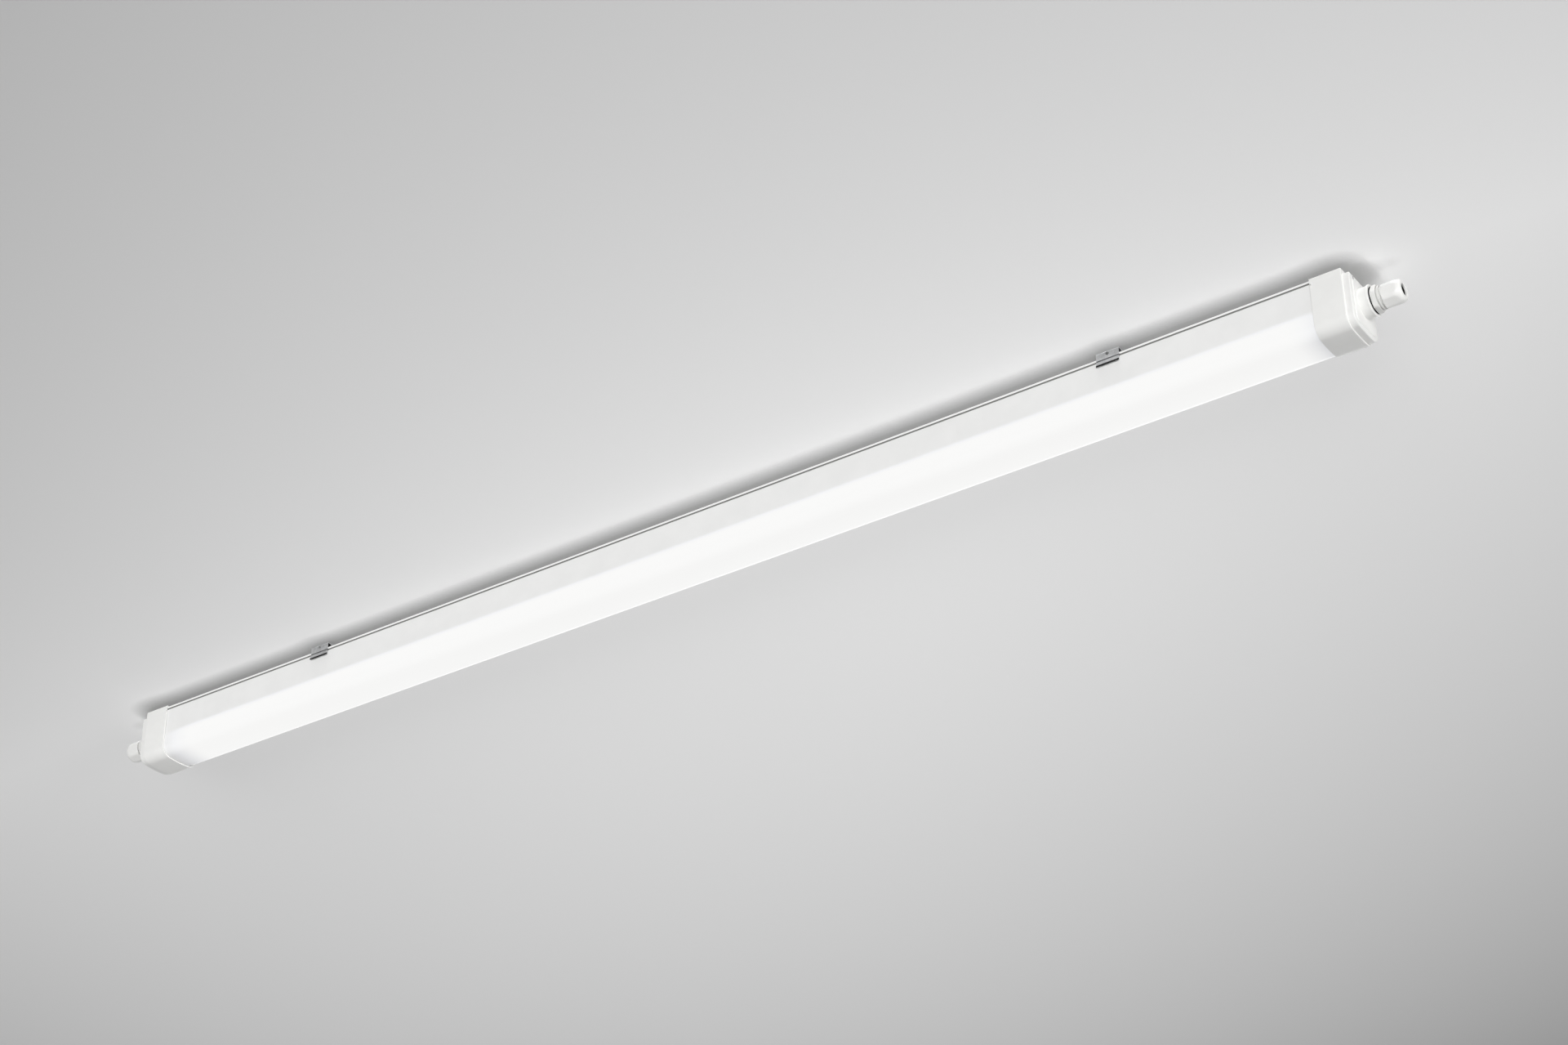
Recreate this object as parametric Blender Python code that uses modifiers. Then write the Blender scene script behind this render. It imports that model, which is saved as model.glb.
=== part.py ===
"""Vapor tight light fixture, 1.5 m long, on two ceiling clips.

An opal tube holds a steel gear tray with LED boards below it and the driver and terminal above.
An end cap with a cable gland closes each end. X runs along the fixture, Z is up, and the origin
is on the ceiling plane, midway between the clips. Lengths are in metres.
"""

import math

import bmesh
import bpy
from mathutils import Matrix, Vector

# Gaps and cuts
GAP = 0.0003
OVERRUN = 0.002
MERGE = 0.00001

# Ceiling clips
CLIP_SPACING = 0.986
FIXTURE_SHIFT = -0.012
CEILING_GAP = 0.0055
CLIP_WIDTH = 0.024
CLIP_STEEL = 0.0008
CLIP_FIT = 0.0004
CLIP_SCREW_HOLE = 0.0055
CLIP_SCREW_SPREAD = 0.020
CLIP_LEG_HOLE = 0.0034
CLIP_FLANGE = 0.0042
CLIP_FLARE = 0.0020
CLIP_TAIL = 0.0054

# Opal tube
VISIBLE_LENGTH = 1.424
COLLAR_GRIP = 0.022
TUBE_WIDTH = 0.0493
TUBE_HEIGHT = 0.0592
TUBE_WALL = 0.002
CORNER_RADIUS = 0.0115
CROWN_RADIUS = 0.150
LIP_WIDTH = 0.0026
LIP_HEIGHT = 0.002
GROOVE_DROP = 0.0031
GROOVE_HEIGHT = 0.0021
GROOVE_DEPTH = 0.00125
RAIL_DEPTH = 0.0022
RAIL_THICKNESS = 0.0012

# Gear tray
TRAY_STEEL = 0.001
TRAY_PLAY = 0.0004
TRAY_DEPTH = 0.0295
TRAY_SET_BACK = 0.012
TAB_HEIGHT = 0.022
CABLE_WINDOW_WIDTH = 0.014
CABLE_WINDOW_HEIGHT = 0.012

# LED boards
BOARD_COUNT = 5
BOARD_END_MARGIN = 0.020
BOARD_WIDTH = 0.020
BOARD_THICKNESS = 0.0016
BOARD_SPACE = 0.006
LED_COUNT = 18
LED_LENGTH = 0.0035
LED_WIDTH = 0.0028
LED_HEIGHT = 0.0007
LINK_OVERLAP = 0.006
LINK_WIDTH = 0.008
LINK_HEIGHT = 0.0026
FEED_LENGTH = 0.008
FEED_DEPTH = 0.004
FEED_HEIGHT = 0.0036

# Screws
SCREW_SHANK = 0.003
SCREW_HEAD = 0.0056
SCREW_HEAD_HEIGHT = 0.0022
SCREW_SLOT_WIDTH = 0.0010
SCREW_SLOT_DEPTH = 0.0010
TRAY_SCREW_LENGTH = 0.010

# LED driver
DRIVER_SET_BACK = 0.180
DRIVER_LENGTH = 0.280
DRIVER_WIDTH = 0.030
DRIVER_HEIGHT = 0.020
DRIVER_SHEET = 0.001
DRIVER_EAR = 0.012
DRIVER_BOARD_DROP = 0.0045
DRIVER_BOARD_THICKNESS = 0.0016
DRIVER_BOARD_MARGIN = 0.0012
CONNECTOR_LENGTH = 0.012
CONNECTOR_WIDTH = 0.014
CONNECTOR_HEIGHT = 0.009
COIL_LENGTH = 0.026
COIL_WIDTH = 0.019
COIL_HEIGHT = 0.010
CAPACITOR_DIAMETER = 0.010
CAPACITOR_HEIGHT = 0.0105

# Terminal block
TERMINAL_SET_BACK = 0.060
TERMINAL_LENGTH = 0.026
TERMINAL_WIDTH = 0.028
TERMINAL_HEIGHT = 0.014
POLE_PITCH = 0.008
BUTTON_LENGTH = 0.0044
BUTTON_WIDTH = 0.0050
BUTTON_HEIGHT = 0.0070
BUTTON_RISE = 0.0025
BUTTON_PLAY = 0.0004
ENTRY_DIAMETER = 0.0036
ENTRY_DEPTH = 0.007

# Wires
MAINS_WIRE = 0.0024
BOARD_WIRE = 0.0016
BOARD_WIRE_PITCH = 0.0034
WIRE_HOLE = 0.0066
WIRE_HOLE_RUN = 0.026
EARTH_SET_BACK = 0.104
EARTH_RING = 0.0070
EARTH_RING_THICKNESS = 0.0008
EARTH_TONGUE = 0.007

# End caps
COLLAR_LENGTH = 0.0312
COLLAR_WALL = 0.0019
COLLAR_TOP_RISE = 0.0010
COLLAR_FIT = 0.0004
PLATE_STEP = 0.0068
PLATE_INSET = 0.0015
PLATE_TOP_INSET = 0.0062
PLATE_THICKNESS = 0.003
PLATEAU_INSET = 0.0050
PLATEAU_RISE = 0.0007
CAP_WALL = 0.0026
GASKET_THICKNESS = 0.002
SLIT_WIDTH = 0.0012
SLIT_DEPTH = 0.0055
SLIT_REACH = 0.0020
SLIT_SPREAD = 0.0330
NOTCH_SIZE = 0.0016
NOTCH_DROP = 0.0061
POST_DIAMETER = 0.0075
POST_SPREAD = 0.026
POST_DROP = 0.0160
PILOT_HOLE = 0.0038

# Cable glands
GLAND_DROP = 0.0272
BOSS_DIAMETER = 0.0296
BOSS_RIM_DIAMETER = 0.0310
BOSS_RIM_LENGTH = 0.0016
BOSS_REACH = 0.0170
GLAND_THREAD = 0.0194
GLAND_SPIGOT = 0.0100
WASHER_DIAMETER = 0.0269
WASHER_THICKNESS = 0.0011
FLANGE_ACROSS = 0.0240
FLANGE_THICKNESS = 0.0045
NECK_DIAMETER = 0.0198
NECK_LENGTH = 0.0040
NECK_RING_DIAMETER = 0.0232
NECK_RING_THICKNESS = 0.0018
THREAD_ENGAGED = 0.0096
GLAND_BORE = 0.0126
NUT_ACROSS = 0.0224
NUT_DIAMETER = 0.0242
NUT_LENGTH = 0.0191
NUT_STRAIGHT = 0.0100
NUT_FACE_DIAMETER = 0.0164
NUT_HOLE = 0.0116
NUT_FACE_THICKNESS = 0.0020
NUT_CHAMFER = 0.0008
NUT_TURN = math.radians(22)
SEAL_BORE = 0.0106
SEAL_WALL = 0.0034

# Worked out from the sizes above
HALF = TUBE_WIDTH / 2
LIP_TOP = -CEILING_GAP
WEB_TOP = LIP_TOP - LIP_HEIGHT
TUBE_BOTTOM = LIP_TOP - TUBE_HEIGHT
GROOVE_Z = LIP_TOP - GROOVE_DROP
ROOF = WEB_TOP - TUBE_WALL
INNER_HALF = HALF - TUBE_WALL
TUBE_LENGTH = VISIBLE_LENGTH + 2 * COLLAR_GRIP
TRAY_TOP = ROOF - TRAY_PLAY
RAIL_TOP = TRAY_TOP - TRAY_STEEL - TRAY_PLAY
RAIL_TIP = INNER_HALF - RAIL_DEPTH
TRAY_HALF = RAIL_TIP - TRAY_PLAY
TRAY_UNDER = TRAY_TOP - TRAY_DEPTH
TRAY_FLOOR = TRAY_UNDER + TRAY_STEEL
TRAY_END = FIXTURE_SHIFT + TUBE_LENGTH / 2 - TRAY_SET_BACK
TRAY_START = FIXTURE_SHIFT - TUBE_LENGTH / 2 + TRAY_SET_BACK
TAB_RECESS = TRAY_STEEL / 2
TAB_OUTER = TRAY_END - TAB_RECESS
TAB_INNER = TAB_OUTER - TRAY_STEEL
TRAY_LENGTH = TRAY_END - TRAY_START
BOARD_PITCH = (TRAY_LENGTH - 2 * BOARD_END_MARGIN + BOARD_SPACE) / BOARD_COUNT
BOARD_LENGTH = BOARD_PITCH - BOARD_SPACE
LED_PITCH = BOARD_PITCH / (LED_COUNT + 1)
BOARD_TOP = TRAY_UNDER - GAP
BOARD_UNDER = BOARD_TOP - BOARD_THICKNESS
GLAND_Z = LIP_TOP - GLAND_DROP
PLATE_FACE = COLLAR_LENGTH + PLATE_STEP
PLATE_BACK = PLATE_FACE - PLATE_THICKNESS
SHOULDER = COLLAR_GRIP + GAP + GASKET_THICKNESS + GAP
BOSS_END = COLLAR_LENGTH + BOSS_REACH
FLANGE_START = BOSS_END + GAP + WASHER_THICKNESS + GAP
NECK_START = FLANGE_START + FLANGE_THICKNESS
NUT_START = NECK_START + NECK_LENGTH
BODY_END = NUT_START + THREAD_ENGAGED
NUT_END = NUT_START + NUT_LENGTH

ROUND_STEPS = 32
FINE_STEPS = 20
CORNER_STEPS = 8
CROWN_STEPS = 6


# Scene, materials and parenting


def clear_scene():
    """Removes what the file holds, so that the script gives the same model each run."""
    for obj in list(bpy.data.objects):
        bpy.data.objects.remove(obj, do_unlink=True)


def new_collection(name):
    collection = bpy.data.collections.new(name)
    bpy.context.scene.collection.children.link(collection)
    return collection


def material(name, colour, roughness, metallic=0.0):
    made = bpy.data.materials.new(name)
    made.use_nodes = True
    shader = made.node_tree.nodes["Principled BSDF"]
    shader.inputs["Base Color"].default_value = (*colour, 1.0)
    shader.inputs["Roughness"].default_value = roughness
    shader.inputs["Metallic"].default_value = metallic
    made.diffuse_color = (*colour, 1.0)
    return made


clear_scene()
PARTS = new_collection("vapor_tight_light")
CUTTERS = new_collection("cutters")

OPAL = material("opal_polycarbonate", (0.90, 0.90, 0.88), 0.35)
WHITE_ABS = material("white_moulding", (0.84, 0.84, 0.82), 0.45)
WHITE_STEEL = material("white_painted_steel", (0.86, 0.86, 0.85), 0.40)
STAINLESS = material("stainless_steel", (0.62, 0.61, 0.59), 0.30, 1.0)
ZINC = material("zinc_plated_steel", (0.66, 0.67, 0.69), 0.35, 1.0)
BLACK_RUBBER = material("black_rubber", (0.03, 0.03, 0.03), 0.70)
GREY_RUBBER = material("grey_rubber", (0.20, 0.20, 0.20), 0.70)
BOARD_WHITE = material("white_solder_mask", (0.85, 0.86, 0.84), 0.40)
BOARD_GREEN = material("green_solder_mask", (0.05, 0.22, 0.10), 0.45)
GLAND_GREY = material("light_grey_nylon", (0.72, 0.72, 0.70), 0.45)
WIRE_COLOURS = {
    "live": material("brown_insulation", (0.20, 0.09, 0.04), 0.45),
    "neutral": material("blue_insulation", (0.04, 0.15, 0.45), 0.45),
    "earth": material("green_insulation", (0.10, 0.40, 0.08), 0.45),
    "plus": material("red_insulation", (0.55, 0.04, 0.03), 0.45),
    "minus": material("black_insulation", (0.03, 0.03, 0.03), 0.45),
}


def finish(obj, finish_material, parent=None):
    """Puts a finished part in its collection, with its material, on its parent."""
    obj.data.materials.clear()
    obj.data.materials.append(finish_material)
    place(obj, PARTS, parent)
    if obj.type == "MESH":
        obj.data.shade_smooth()
        obj.data.set_sharp_from_angle(angle=math.radians(35))
    return obj


def place(obj, collection, parent=None):
    for held in list(obj.users_collection):
        held.objects.unlink(obj)
    collection.objects.link(obj)
    obj.parent = parent
    return obj


def as_helper(obj, parent=None):
    """A cutter, or a shape that a Boolean joins to a part."""
    place(obj, CUTTERS, parent)
    obj.hide_render = True
    obj.display_type = "WIRE"
    return obj


def end_frame(name, x, turn):
    """An empty at a collar's inner edge, whose X points out of that end of the fixture."""
    frame = bpy.data.objects.new(name, None)
    frame.location = (x, 0, 0)
    frame.rotation_euler = (0, 0, turn)
    PARTS.objects.link(frame)
    return frame


# Shapes


def box(name, low, high):
    """A box between two corners."""
    bpy.ops.mesh.primitive_cube_add(size=1)
    obj = bpy.context.object
    obj.name = name
    low, high = Vector(low), Vector(high)
    obj.data.transform(Matrix.Translation((low + high) / 2) @ Matrix.Diagonal((*(high - low), 1)))
    return obj


def rod(name, radius, start, end, sides=FINE_STEPS):
    """A round or many-sided rod between two points."""
    start, end = Vector(start), Vector(end)
    run = end - start
    mesh = bpy.data.meshes.new(name)
    work = bmesh.new()
    bmesh.ops.create_cone(
        work,
        cap_ends=True,
        segments=sides,
        radius1=radius,
        radius2=radius,
        depth=run.length,
    )
    turn = Vector((0, 0, 1)).rotation_difference(run).to_matrix().to_4x4()
    work.transform(Matrix.Translation((start + end) / 2) @ turn)
    work.to_mesh(mesh)
    work.free()
    obj = bpy.data.objects.new(name, mesh)
    bpy.context.scene.collection.objects.link(obj)
    return obj


def meshed(curve_object):
    """The curve object made a mesh, with its caps welded."""
    bpy.context.view_layer.update()
    evaluated = curve_object.evaluated_get(bpy.context.evaluated_depsgraph_get())
    mesh = bpy.data.meshes.new_from_object(evaluated)
    work = bmesh.new()
    work.from_mesh(mesh)
    bmesh.ops.remove_doubles(work, verts=work.verts, dist=MERGE)
    work.to_mesh(mesh)
    work.free()
    obj = bpy.data.objects.new(curve_object.name + "_mesh", mesh)
    obj.matrix_world = curve_object.matrix_world.copy()
    bpy.context.scene.collection.objects.link(obj)
    name = curve_object.name
    bpy.data.objects.remove(curve_object, do_unlink=True)
    obj.name = name
    return obj


def extruded(name, outlines, start, end):
    """Flat outlines of (y, z) points, the later ones holes in the first, run along X."""
    curve = bpy.data.curves.new(name, "CURVE")
    curve.dimensions = "2D"
    curve.fill_mode = "BOTH"
    curve.extrude = (end - start) / 2
    for outline in outlines:
        spline = curve.splines.new("POLY")
        spline.points.add(len(outline) - 1)
        for point, (y, z) in zip(spline.points, outline):
            point.co = (y, z, 0, 1)
        spline.use_cyclic_u = True
    obj = bpy.data.objects.new(name, curve)
    bpy.context.scene.collection.objects.link(obj)
    obj = meshed(obj)
    axes = Matrix(((0, 0, 1, 0), (1, 0, 0, 0), (0, 1, 0, 0), (0, 0, 0, 1)))
    obj.data.transform(Matrix.Translation(((start + end) / 2, 0, 0)) @ axes)
    return obj


def turned(name, profile, steps=ROUND_STEPS):
    """A closed profile of (radius, x) points, turned about the gland's axis, X."""
    mesh = bpy.data.meshes.new(name)
    points = [(radius, 0, x) for radius, x in profile]
    edges = [(i, (i + 1) % len(points)) for i in range(len(points))]
    if profile[0][0] == 0 and profile[-1][0] == 0:
        edges.pop()
    mesh.from_pydata(points, edges, [])
    obj = bpy.data.objects.new(name, mesh)
    bpy.context.scene.collection.objects.link(obj)
    screw = obj.modifiers.new("turn", "SCREW")
    screw.axis = "Z"
    screw.steps = steps
    screw.render_steps = steps
    screw.use_merge_vertices = True
    screw.merge_threshold = MERGE
    obj.location = (0, 0, GLAND_Z)
    obj.rotation_euler = (0, math.pi / 2, 0)
    return obj


def boolean(obj, other, operation):
    modifier = obj.modifiers.new(other.name, "BOOLEAN")
    modifier.operation = operation
    modifier.object = other
    return obj


def cut(obj, cutter, parent=None):
    return boolean(obj, as_helper(cutter, parent), "DIFFERENCE")


def join(obj, shape, parent=None):
    return boolean(obj, as_helper(shape, parent), "UNION")


def smooth_route(points, steps=6):
    """A curve through the points: each span is a cubic whose end slopes weigh both neighbours."""
    held = [Vector(p) for p in points]
    runs = [(b - a).length for a, b in zip(held, held[1:])]
    slopes = [(b - a) / run for a, b, run in zip(held, held[1:], runs)]
    inner = zip(slopes, slopes[1:], runs, runs[1:])
    middle = [(before * h + after * g) / (g + h) for before, after, g, h in inner]
    ways = [slopes[0], *middle, slopes[-1]]
    route = []
    for a, b, leave, arrive, run in zip(held, held[1:], ways, ways[1:], runs):
        for i in range(steps):
            t = i / steps
            ends = a * (2 * t**3 - 3 * t**2 + 1) + b * (3 * t**2 - 2 * t**3)
            bends = leave * (t**3 - 2 * t**2 + t) + arrive * (t**3 - t**2)
            route.append(ends + bends * run)
    return [*route, held[-1]]


def wire(name, points, diameter, colour):
    curve = bpy.data.curves.new(name, "CURVE")
    curve.dimensions = "3D"
    curve.bevel_depth = diameter / 2
    curve.bevel_resolution = 2
    curve.use_fill_caps = True
    route = smooth_route(points)
    spline = curve.splines.new("POLY")
    spline.points.add(len(route) - 1)
    for point, where in zip(spline.points, route):
        point.co = (*where, 1)
    obj = bpy.data.objects.new(name, curve)
    bpy.context.scene.collection.objects.link(obj)
    return finish(meshed(obj), colour)


def screw(name, head_under, direction, length):
    """A pan-head screw: head_under is the point under its head, direction the way it goes in."""
    under, way = Vector(head_under), Vector(direction)
    obj = rod(name, SCREW_HEAD / 2, under, under - way * SCREW_HEAD_HEIGHT)
    join(obj, rod(name + "_shank", SCREW_SHANK / 2, under - way * GAP, under + way * length))
    top = under - way * SCREW_HEAD_HEIGHT
    slot = [Vector((SCREW_HEAD, SCREW_HEAD, SCREW_HEAD)) for _ in range(2)]
    across = Vector((0, 1, 0)) if abs(way.y) < abs(way.z) + abs(way.x) else Vector((1, 0, 0))
    for corner, sign in zip(slot, (-1, 1)):
        for axis in range(3):
            half = SCREW_SLOT_WIDTH / 2 if across[axis] else SCREW_HEAD
            half = SCREW_SLOT_DEPTH if way[axis] else half
            corner[axis] = top[axis] + sign * half
    cut(obj, box(name + "_slot", *slot))
    return finish(obj, ZINC)


# Sections of the tube and its caps, as (y, z) points


def both_sides(half_outline):
    """The whole outline from its +Y half, which runs from the top to the bottom."""
    mirrored = [(-y, z) for y, z in reversed(half_outline) if y > MERGE]
    return [*half_outline, *mirrored]


def belly(grow):
    """The tube's corner and crown, moved out by grow: a small arc that meets a wide one."""
    corner = CORNER_RADIUS + grow
    crown = CROWN_RADIUS + grow
    corner_y = HALF - CORNER_RADIUS
    between = CROWN_RADIUS - CORNER_RADIUS
    crown_z = TUBE_BOTTOM + CROWN_RADIUS
    corner_z = crown_z - math.sqrt(between**2 - corner_y**2)
    meet = math.asin(corner_y / between)
    sweep = math.pi / 2 - meet
    points = []
    for i in range(CORNER_STEPS + 1):
        angle = sweep * i / CORNER_STEPS
        points.append((corner_y + corner * math.cos(angle), corner_z - corner * math.sin(angle)))
    for i in range(1, CROWN_STEPS + 1):
        angle = meet * (1 - i / CROWN_STEPS)
        points.append((crown * math.sin(angle), crown_z - crown * math.cos(angle)))
    return points


def plain_outline(grow, top):
    """The tube's outline without lips or grooves, moved out by grow, up to the height top."""
    return both_sides([(HALF + grow, top), *belly(grow)])


def lipped_outline(grow, grooved=False):
    """The tube's outer outline with its two lips, moved out by grow."""
    lip_inner = HALF - LIP_WIDTH - grow
    points = [(lip_inner, WEB_TOP + grow), (lip_inner, LIP_TOP + grow)]
    points.append((HALF + grow, LIP_TOP + grow))
    if grooved:
        slope = GROOVE_HEIGHT / 4
        points.append((HALF, GROOVE_Z + GROOVE_HEIGHT / 2))
        points.append((HALF - GROOVE_DEPTH, GROOVE_Z + GROOVE_HEIGHT / 2 - slope))
        points.append((HALF - GROOVE_DEPTH, GROOVE_Z - GROOVE_HEIGHT / 2 + slope))
        points.append((HALF, GROOVE_Z - GROOVE_HEIGHT / 2))
    return both_sides([*points, *belly(grow)])


def railed_bore():
    """The tube's inner outline, with the rails that carry the tray."""
    points = [(INNER_HALF, ROOF), (INNER_HALF, RAIL_TOP), (RAIL_TIP, RAIL_TOP)]
    under = RAIL_TOP - RAIL_THICKNESS
    points += [(RAIL_TIP, under), (INNER_HALF, under)]
    return both_sides([*points, *belly(-TUBE_WALL)])


# Sub-assemblies


def ceiling_clip(name, x):
    """A steel strap: flat on the ceiling, down both sides, hooked in the grooves, then flared."""
    inner = HALF + CLIP_FIT
    reach = GROOVE_HEIGHT / 2
    profile = [
        (inner, -CLIP_STEEL),
        (inner, GROOVE_Z + reach),
        (HALF - GROOVE_DEPTH + GAP, GROOVE_Z),
        (inner, GROOVE_Z - reach),
        (HALF + CLIP_FLARE, GROOVE_Z - reach - CLIP_TAIL),
    ]
    path = [*((-y, z) for y, z in reversed(profile)), *profile]
    half = CLIP_WIDTH / 2
    points = [(x + side * half, y, z) for side in (-1, 1) for y, z in path]
    count = len(path)
    mesh = bpy.data.meshes.new(name)
    faces = [(i, i + 1, count + i + 1, count + i) for i in range(count - 1)]
    mesh.from_pydata(points, [], faces)
    obj = bpy.data.objects.new(name, mesh)
    bpy.context.scene.collection.objects.link(obj)
    wall = obj.modifiers.new("wall", "SOLIDIFY")
    wall.thickness = CLIP_STEEL
    wall.offset = -1
    wall.use_even_offset = True
    for end in (-1, 1):
        for side in (-1, 1):
            edge = x + end * half
            y_out = side * (inner + CLIP_STEEL / 2)
            y_in = side * (inner - CLIP_FLANGE)
            low = (min(edge, edge - end * CLIP_STEEL), min(y_out, y_in), LIP_TOP + GAP)
            high = (max(edge, edge - end * CLIP_STEEL), max(y_out, y_in), -CLIP_STEEL / 2)
            join(obj, box(f"{name}_flange", low, high))
    for side in (-1, 1):
        y = side * CLIP_SCREW_SPREAD / 2
        cut(obj, rod(f"{name}_screw_hole", CLIP_SCREW_HOLE / 2, (x, y, -OVERRUN), (x, y, OVERRUN)))
    reach_out = inner + OVERRUN
    hole_z = (LIP_TOP - CLIP_STEEL) / 2
    ends = (x, -reach_out, hole_z), (x, reach_out, hole_z)
    cut(obj, rod(f"{name}_leg_holes", CLIP_LEG_HOLE / 2, *ends))
    return finish(obj, STAINLESS)


def opal_tube():
    ends = FIXTURE_SHIFT - TUBE_LENGTH / 2, FIXTURE_SHIFT + TUBE_LENGTH / 2
    return finish(extruded("opal_tube", [lipped_outline(0, True), railed_bore()], *ends), OPAL)


def tray_section():
    """A hat: flanges on the rails, walls down, and a floor that carries the LED boards."""
    flange = INNER_HALF - TRAY_PLAY
    half = [(TRAY_HALF - TRAY_STEEL, TRAY_FLOOR), (TRAY_HALF - TRAY_STEEL, TRAY_TOP)]
    half += [(flange, TRAY_TOP), (flange, TRAY_TOP - TRAY_STEEL), (TRAY_HALF, TRAY_TOP - TRAY_STEEL)]
    half.append((TRAY_HALF, TRAY_UNDER))
    return both_sides(half)


def board_middle(index):
    return FIXTURE_SHIFT + (index - (BOARD_COUNT - 1) / 2) * BOARD_PITCH


def driver_end():
    return TRAY_END - DRIVER_SET_BACK


def driver_start():
    return driver_end() - DRIVER_LENGTH


def wire_hole_place():
    """Where the board wires pass the tray: beside the boards, past the driver's ear."""
    y = (BOARD_WIDTH / 2 + TRAY_HALF - TRAY_STEEL) / 2
    return driver_start() - DRIVER_EAR - WIRE_HOLE_RUN, y


def post_places():
    z = LIP_TOP - POST_DROP
    return [(-POST_SPREAD / 2, z), (POST_SPREAD / 2, z)]


def gear_tray():
    obj = extruded("gear_tray", [tray_section()], TRAY_START, TRAY_END)
    wall = TRAY_HALF - TRAY_STEEL / 2
    low = (TAB_INNER, -wall, TRAY_UNDER + TRAY_STEEL / 2)
    join(obj, box("tray_tab", low, (TAB_OUTER, wall, TRAY_UNDER + TAB_HEIGHT)))
    window = CABLE_WINDOW_WIDTH / 2
    sill = TRAY_FLOOR + TRAY_STEEL
    low = (TAB_INNER - OVERRUN, -window, sill)
    high = (TAB_OUTER + OVERRUN, window, sill + CABLE_WINDOW_HEIGHT)
    cut(obj, box("tray_cable_window", low, high))
    clearance = SCREW_SHANK / 2 + GAP
    for y, z in post_places():
        ends = (TAB_INNER - OVERRUN, y, z), (TAB_OUTER + OVERRUN, y, z)
        cut(obj, rod("tray_tab_hole", clearance, *ends))
    floor_holes = [(board_middle(i), 0) for i in range(BOARD_COUNT)]
    floor_holes += [(x, 0) for x in driver_screw_places()]
    floor_holes.append(earth_place())
    for x, y in floor_holes:
        ends = (x, y, TRAY_UNDER - OVERRUN), (x, y, TRAY_FLOOR + OVERRUN)
        cut(obj, rod("tray_screw_hole", clearance, *ends))
    x, y = wire_hole_place()
    ends = (x, y, TRAY_UNDER - OVERRUN), (x, y, TRAY_FLOOR + OVERRUN)
    cut(obj, rod("tray_wire_hole", WIRE_HOLE / 2, *ends))
    return finish(obj, WHITE_STEEL)


def led_place(index):
    """LEDs sit at half pitches, so that the middle is free for the board's screw."""
    return (index - (LED_COUNT - 1) / 2) * LED_PITCH


def feed_board_index():
    """The board that lies over the wire hole."""
    places = [abs(board_middle(i) - wire_hole_place()[0]) for i in range(BOARD_COUNT)]
    return places.index(min(places))


def led_board(index):
    middle = board_middle(index)
    name = f"led_board_{index + 1}"
    half = (BOARD_LENGTH / 2, BOARD_WIDTH / 2)
    low = (middle - half[0], -half[1], BOARD_UNDER)
    obj = box(name, low, (middle + half[0], half[1], BOARD_TOP))
    for led in range(LED_COUNT):
        x = middle + led_place(led)
        low = (x - LED_LENGTH / 2, -LED_WIDTH / 2, BOARD_UNDER - LED_HEIGHT)
        high = (x + LED_LENGTH / 2, LED_WIDTH / 2, BOARD_UNDER + LED_HEIGHT)
        join(obj, box(f"{name}_led", low, high))
    if index == feed_board_index():
        x = wire_hole_place()[0]
        low = (x - FEED_LENGTH / 2, half[1] - FEED_DEPTH, BOARD_UNDER - FEED_HEIGHT)
        high = (x + FEED_LENGTH / 2, half[1] - GAP, BOARD_UNDER + BOARD_THICKNESS / 2)
        join(obj, box(f"{name}_feed", low, high))
    clearance = SCREW_SHANK / 2 + GAP
    ends = (middle, 0, BOARD_UNDER - OVERRUN), (middle, 0, BOARD_TOP + OVERRUN)
    cut(obj, rod(f"{name}_hole", clearance, *ends))
    finish(obj, BOARD_WHITE)
    under = (middle, 0, BOARD_UNDER - GAP)
    screw(f"board_screw_{index + 1}", under, (0, 0, 1), TRAY_FLOOR - under[2])


def board_link(index):
    """The bridge connector between one board and the next."""
    gap_middle = (board_middle(index) + board_middle(index + 1)) / 2
    reach = BOARD_SPACE / 2 + LINK_OVERLAP
    top = BOARD_UNDER - GAP
    low = (gap_middle - reach, -LINK_WIDTH / 2, top - LINK_HEIGHT)
    name = f"board_link_{index + 1}"
    obj = box(name, low, (gap_middle + reach, LINK_WIDTH / 2, top))
    plug = (BOARD_SPACE / 2 - GAP, LINK_WIDTH / 4)
    low = (gap_middle - plug[0], -plug[1], top - LINK_HEIGHT / 2)
    high = (gap_middle + plug[0], plug[1], top + BOARD_THICKNESS / 2)
    join(obj, box(f"{name}_key", low, high))
    return finish(obj, WHITE_ABS)


# LED driver


def driver_screw_places():
    return [driver_start() - DRIVER_EAR / 2, driver_end() + DRIVER_EAR / 2]


def driver_levels():
    """Heights of the driver's base, its circuit board's underside, and its cover's top."""
    base = TRAY_FLOOR + GAP
    return base, base + DRIVER_BOARD_DROP, base + DRIVER_HEIGHT


def driver_base():
    base, board, _ = driver_levels()
    half = DRIVER_WIDTH / 2
    low = (driver_start() - DRIVER_EAR, -half, base)
    obj = box("driver_base", low, (driver_end() + DRIVER_EAR, half, base + DRIVER_SHEET))
    for end in (driver_start() + DRIVER_EAR, driver_end() - DRIVER_EAR):
        for side in (-1, 1):
            y = side * DRIVER_WIDTH / 3
            ends = (end, y, base + DRIVER_SHEET / 2), (end, y, board - GAP)
            join(obj, rod("driver_base_stud", SCREW_SHANK / 2, *ends))
    for x in driver_screw_places():
        ends = (x, 0, base - OVERRUN), (x, 0, base + DRIVER_SHEET + OVERRUN)
        cut(obj, rod("driver_base_hole", SCREW_SHANK / 2 + GAP, *ends))
    return finish(obj, ZINC)


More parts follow.
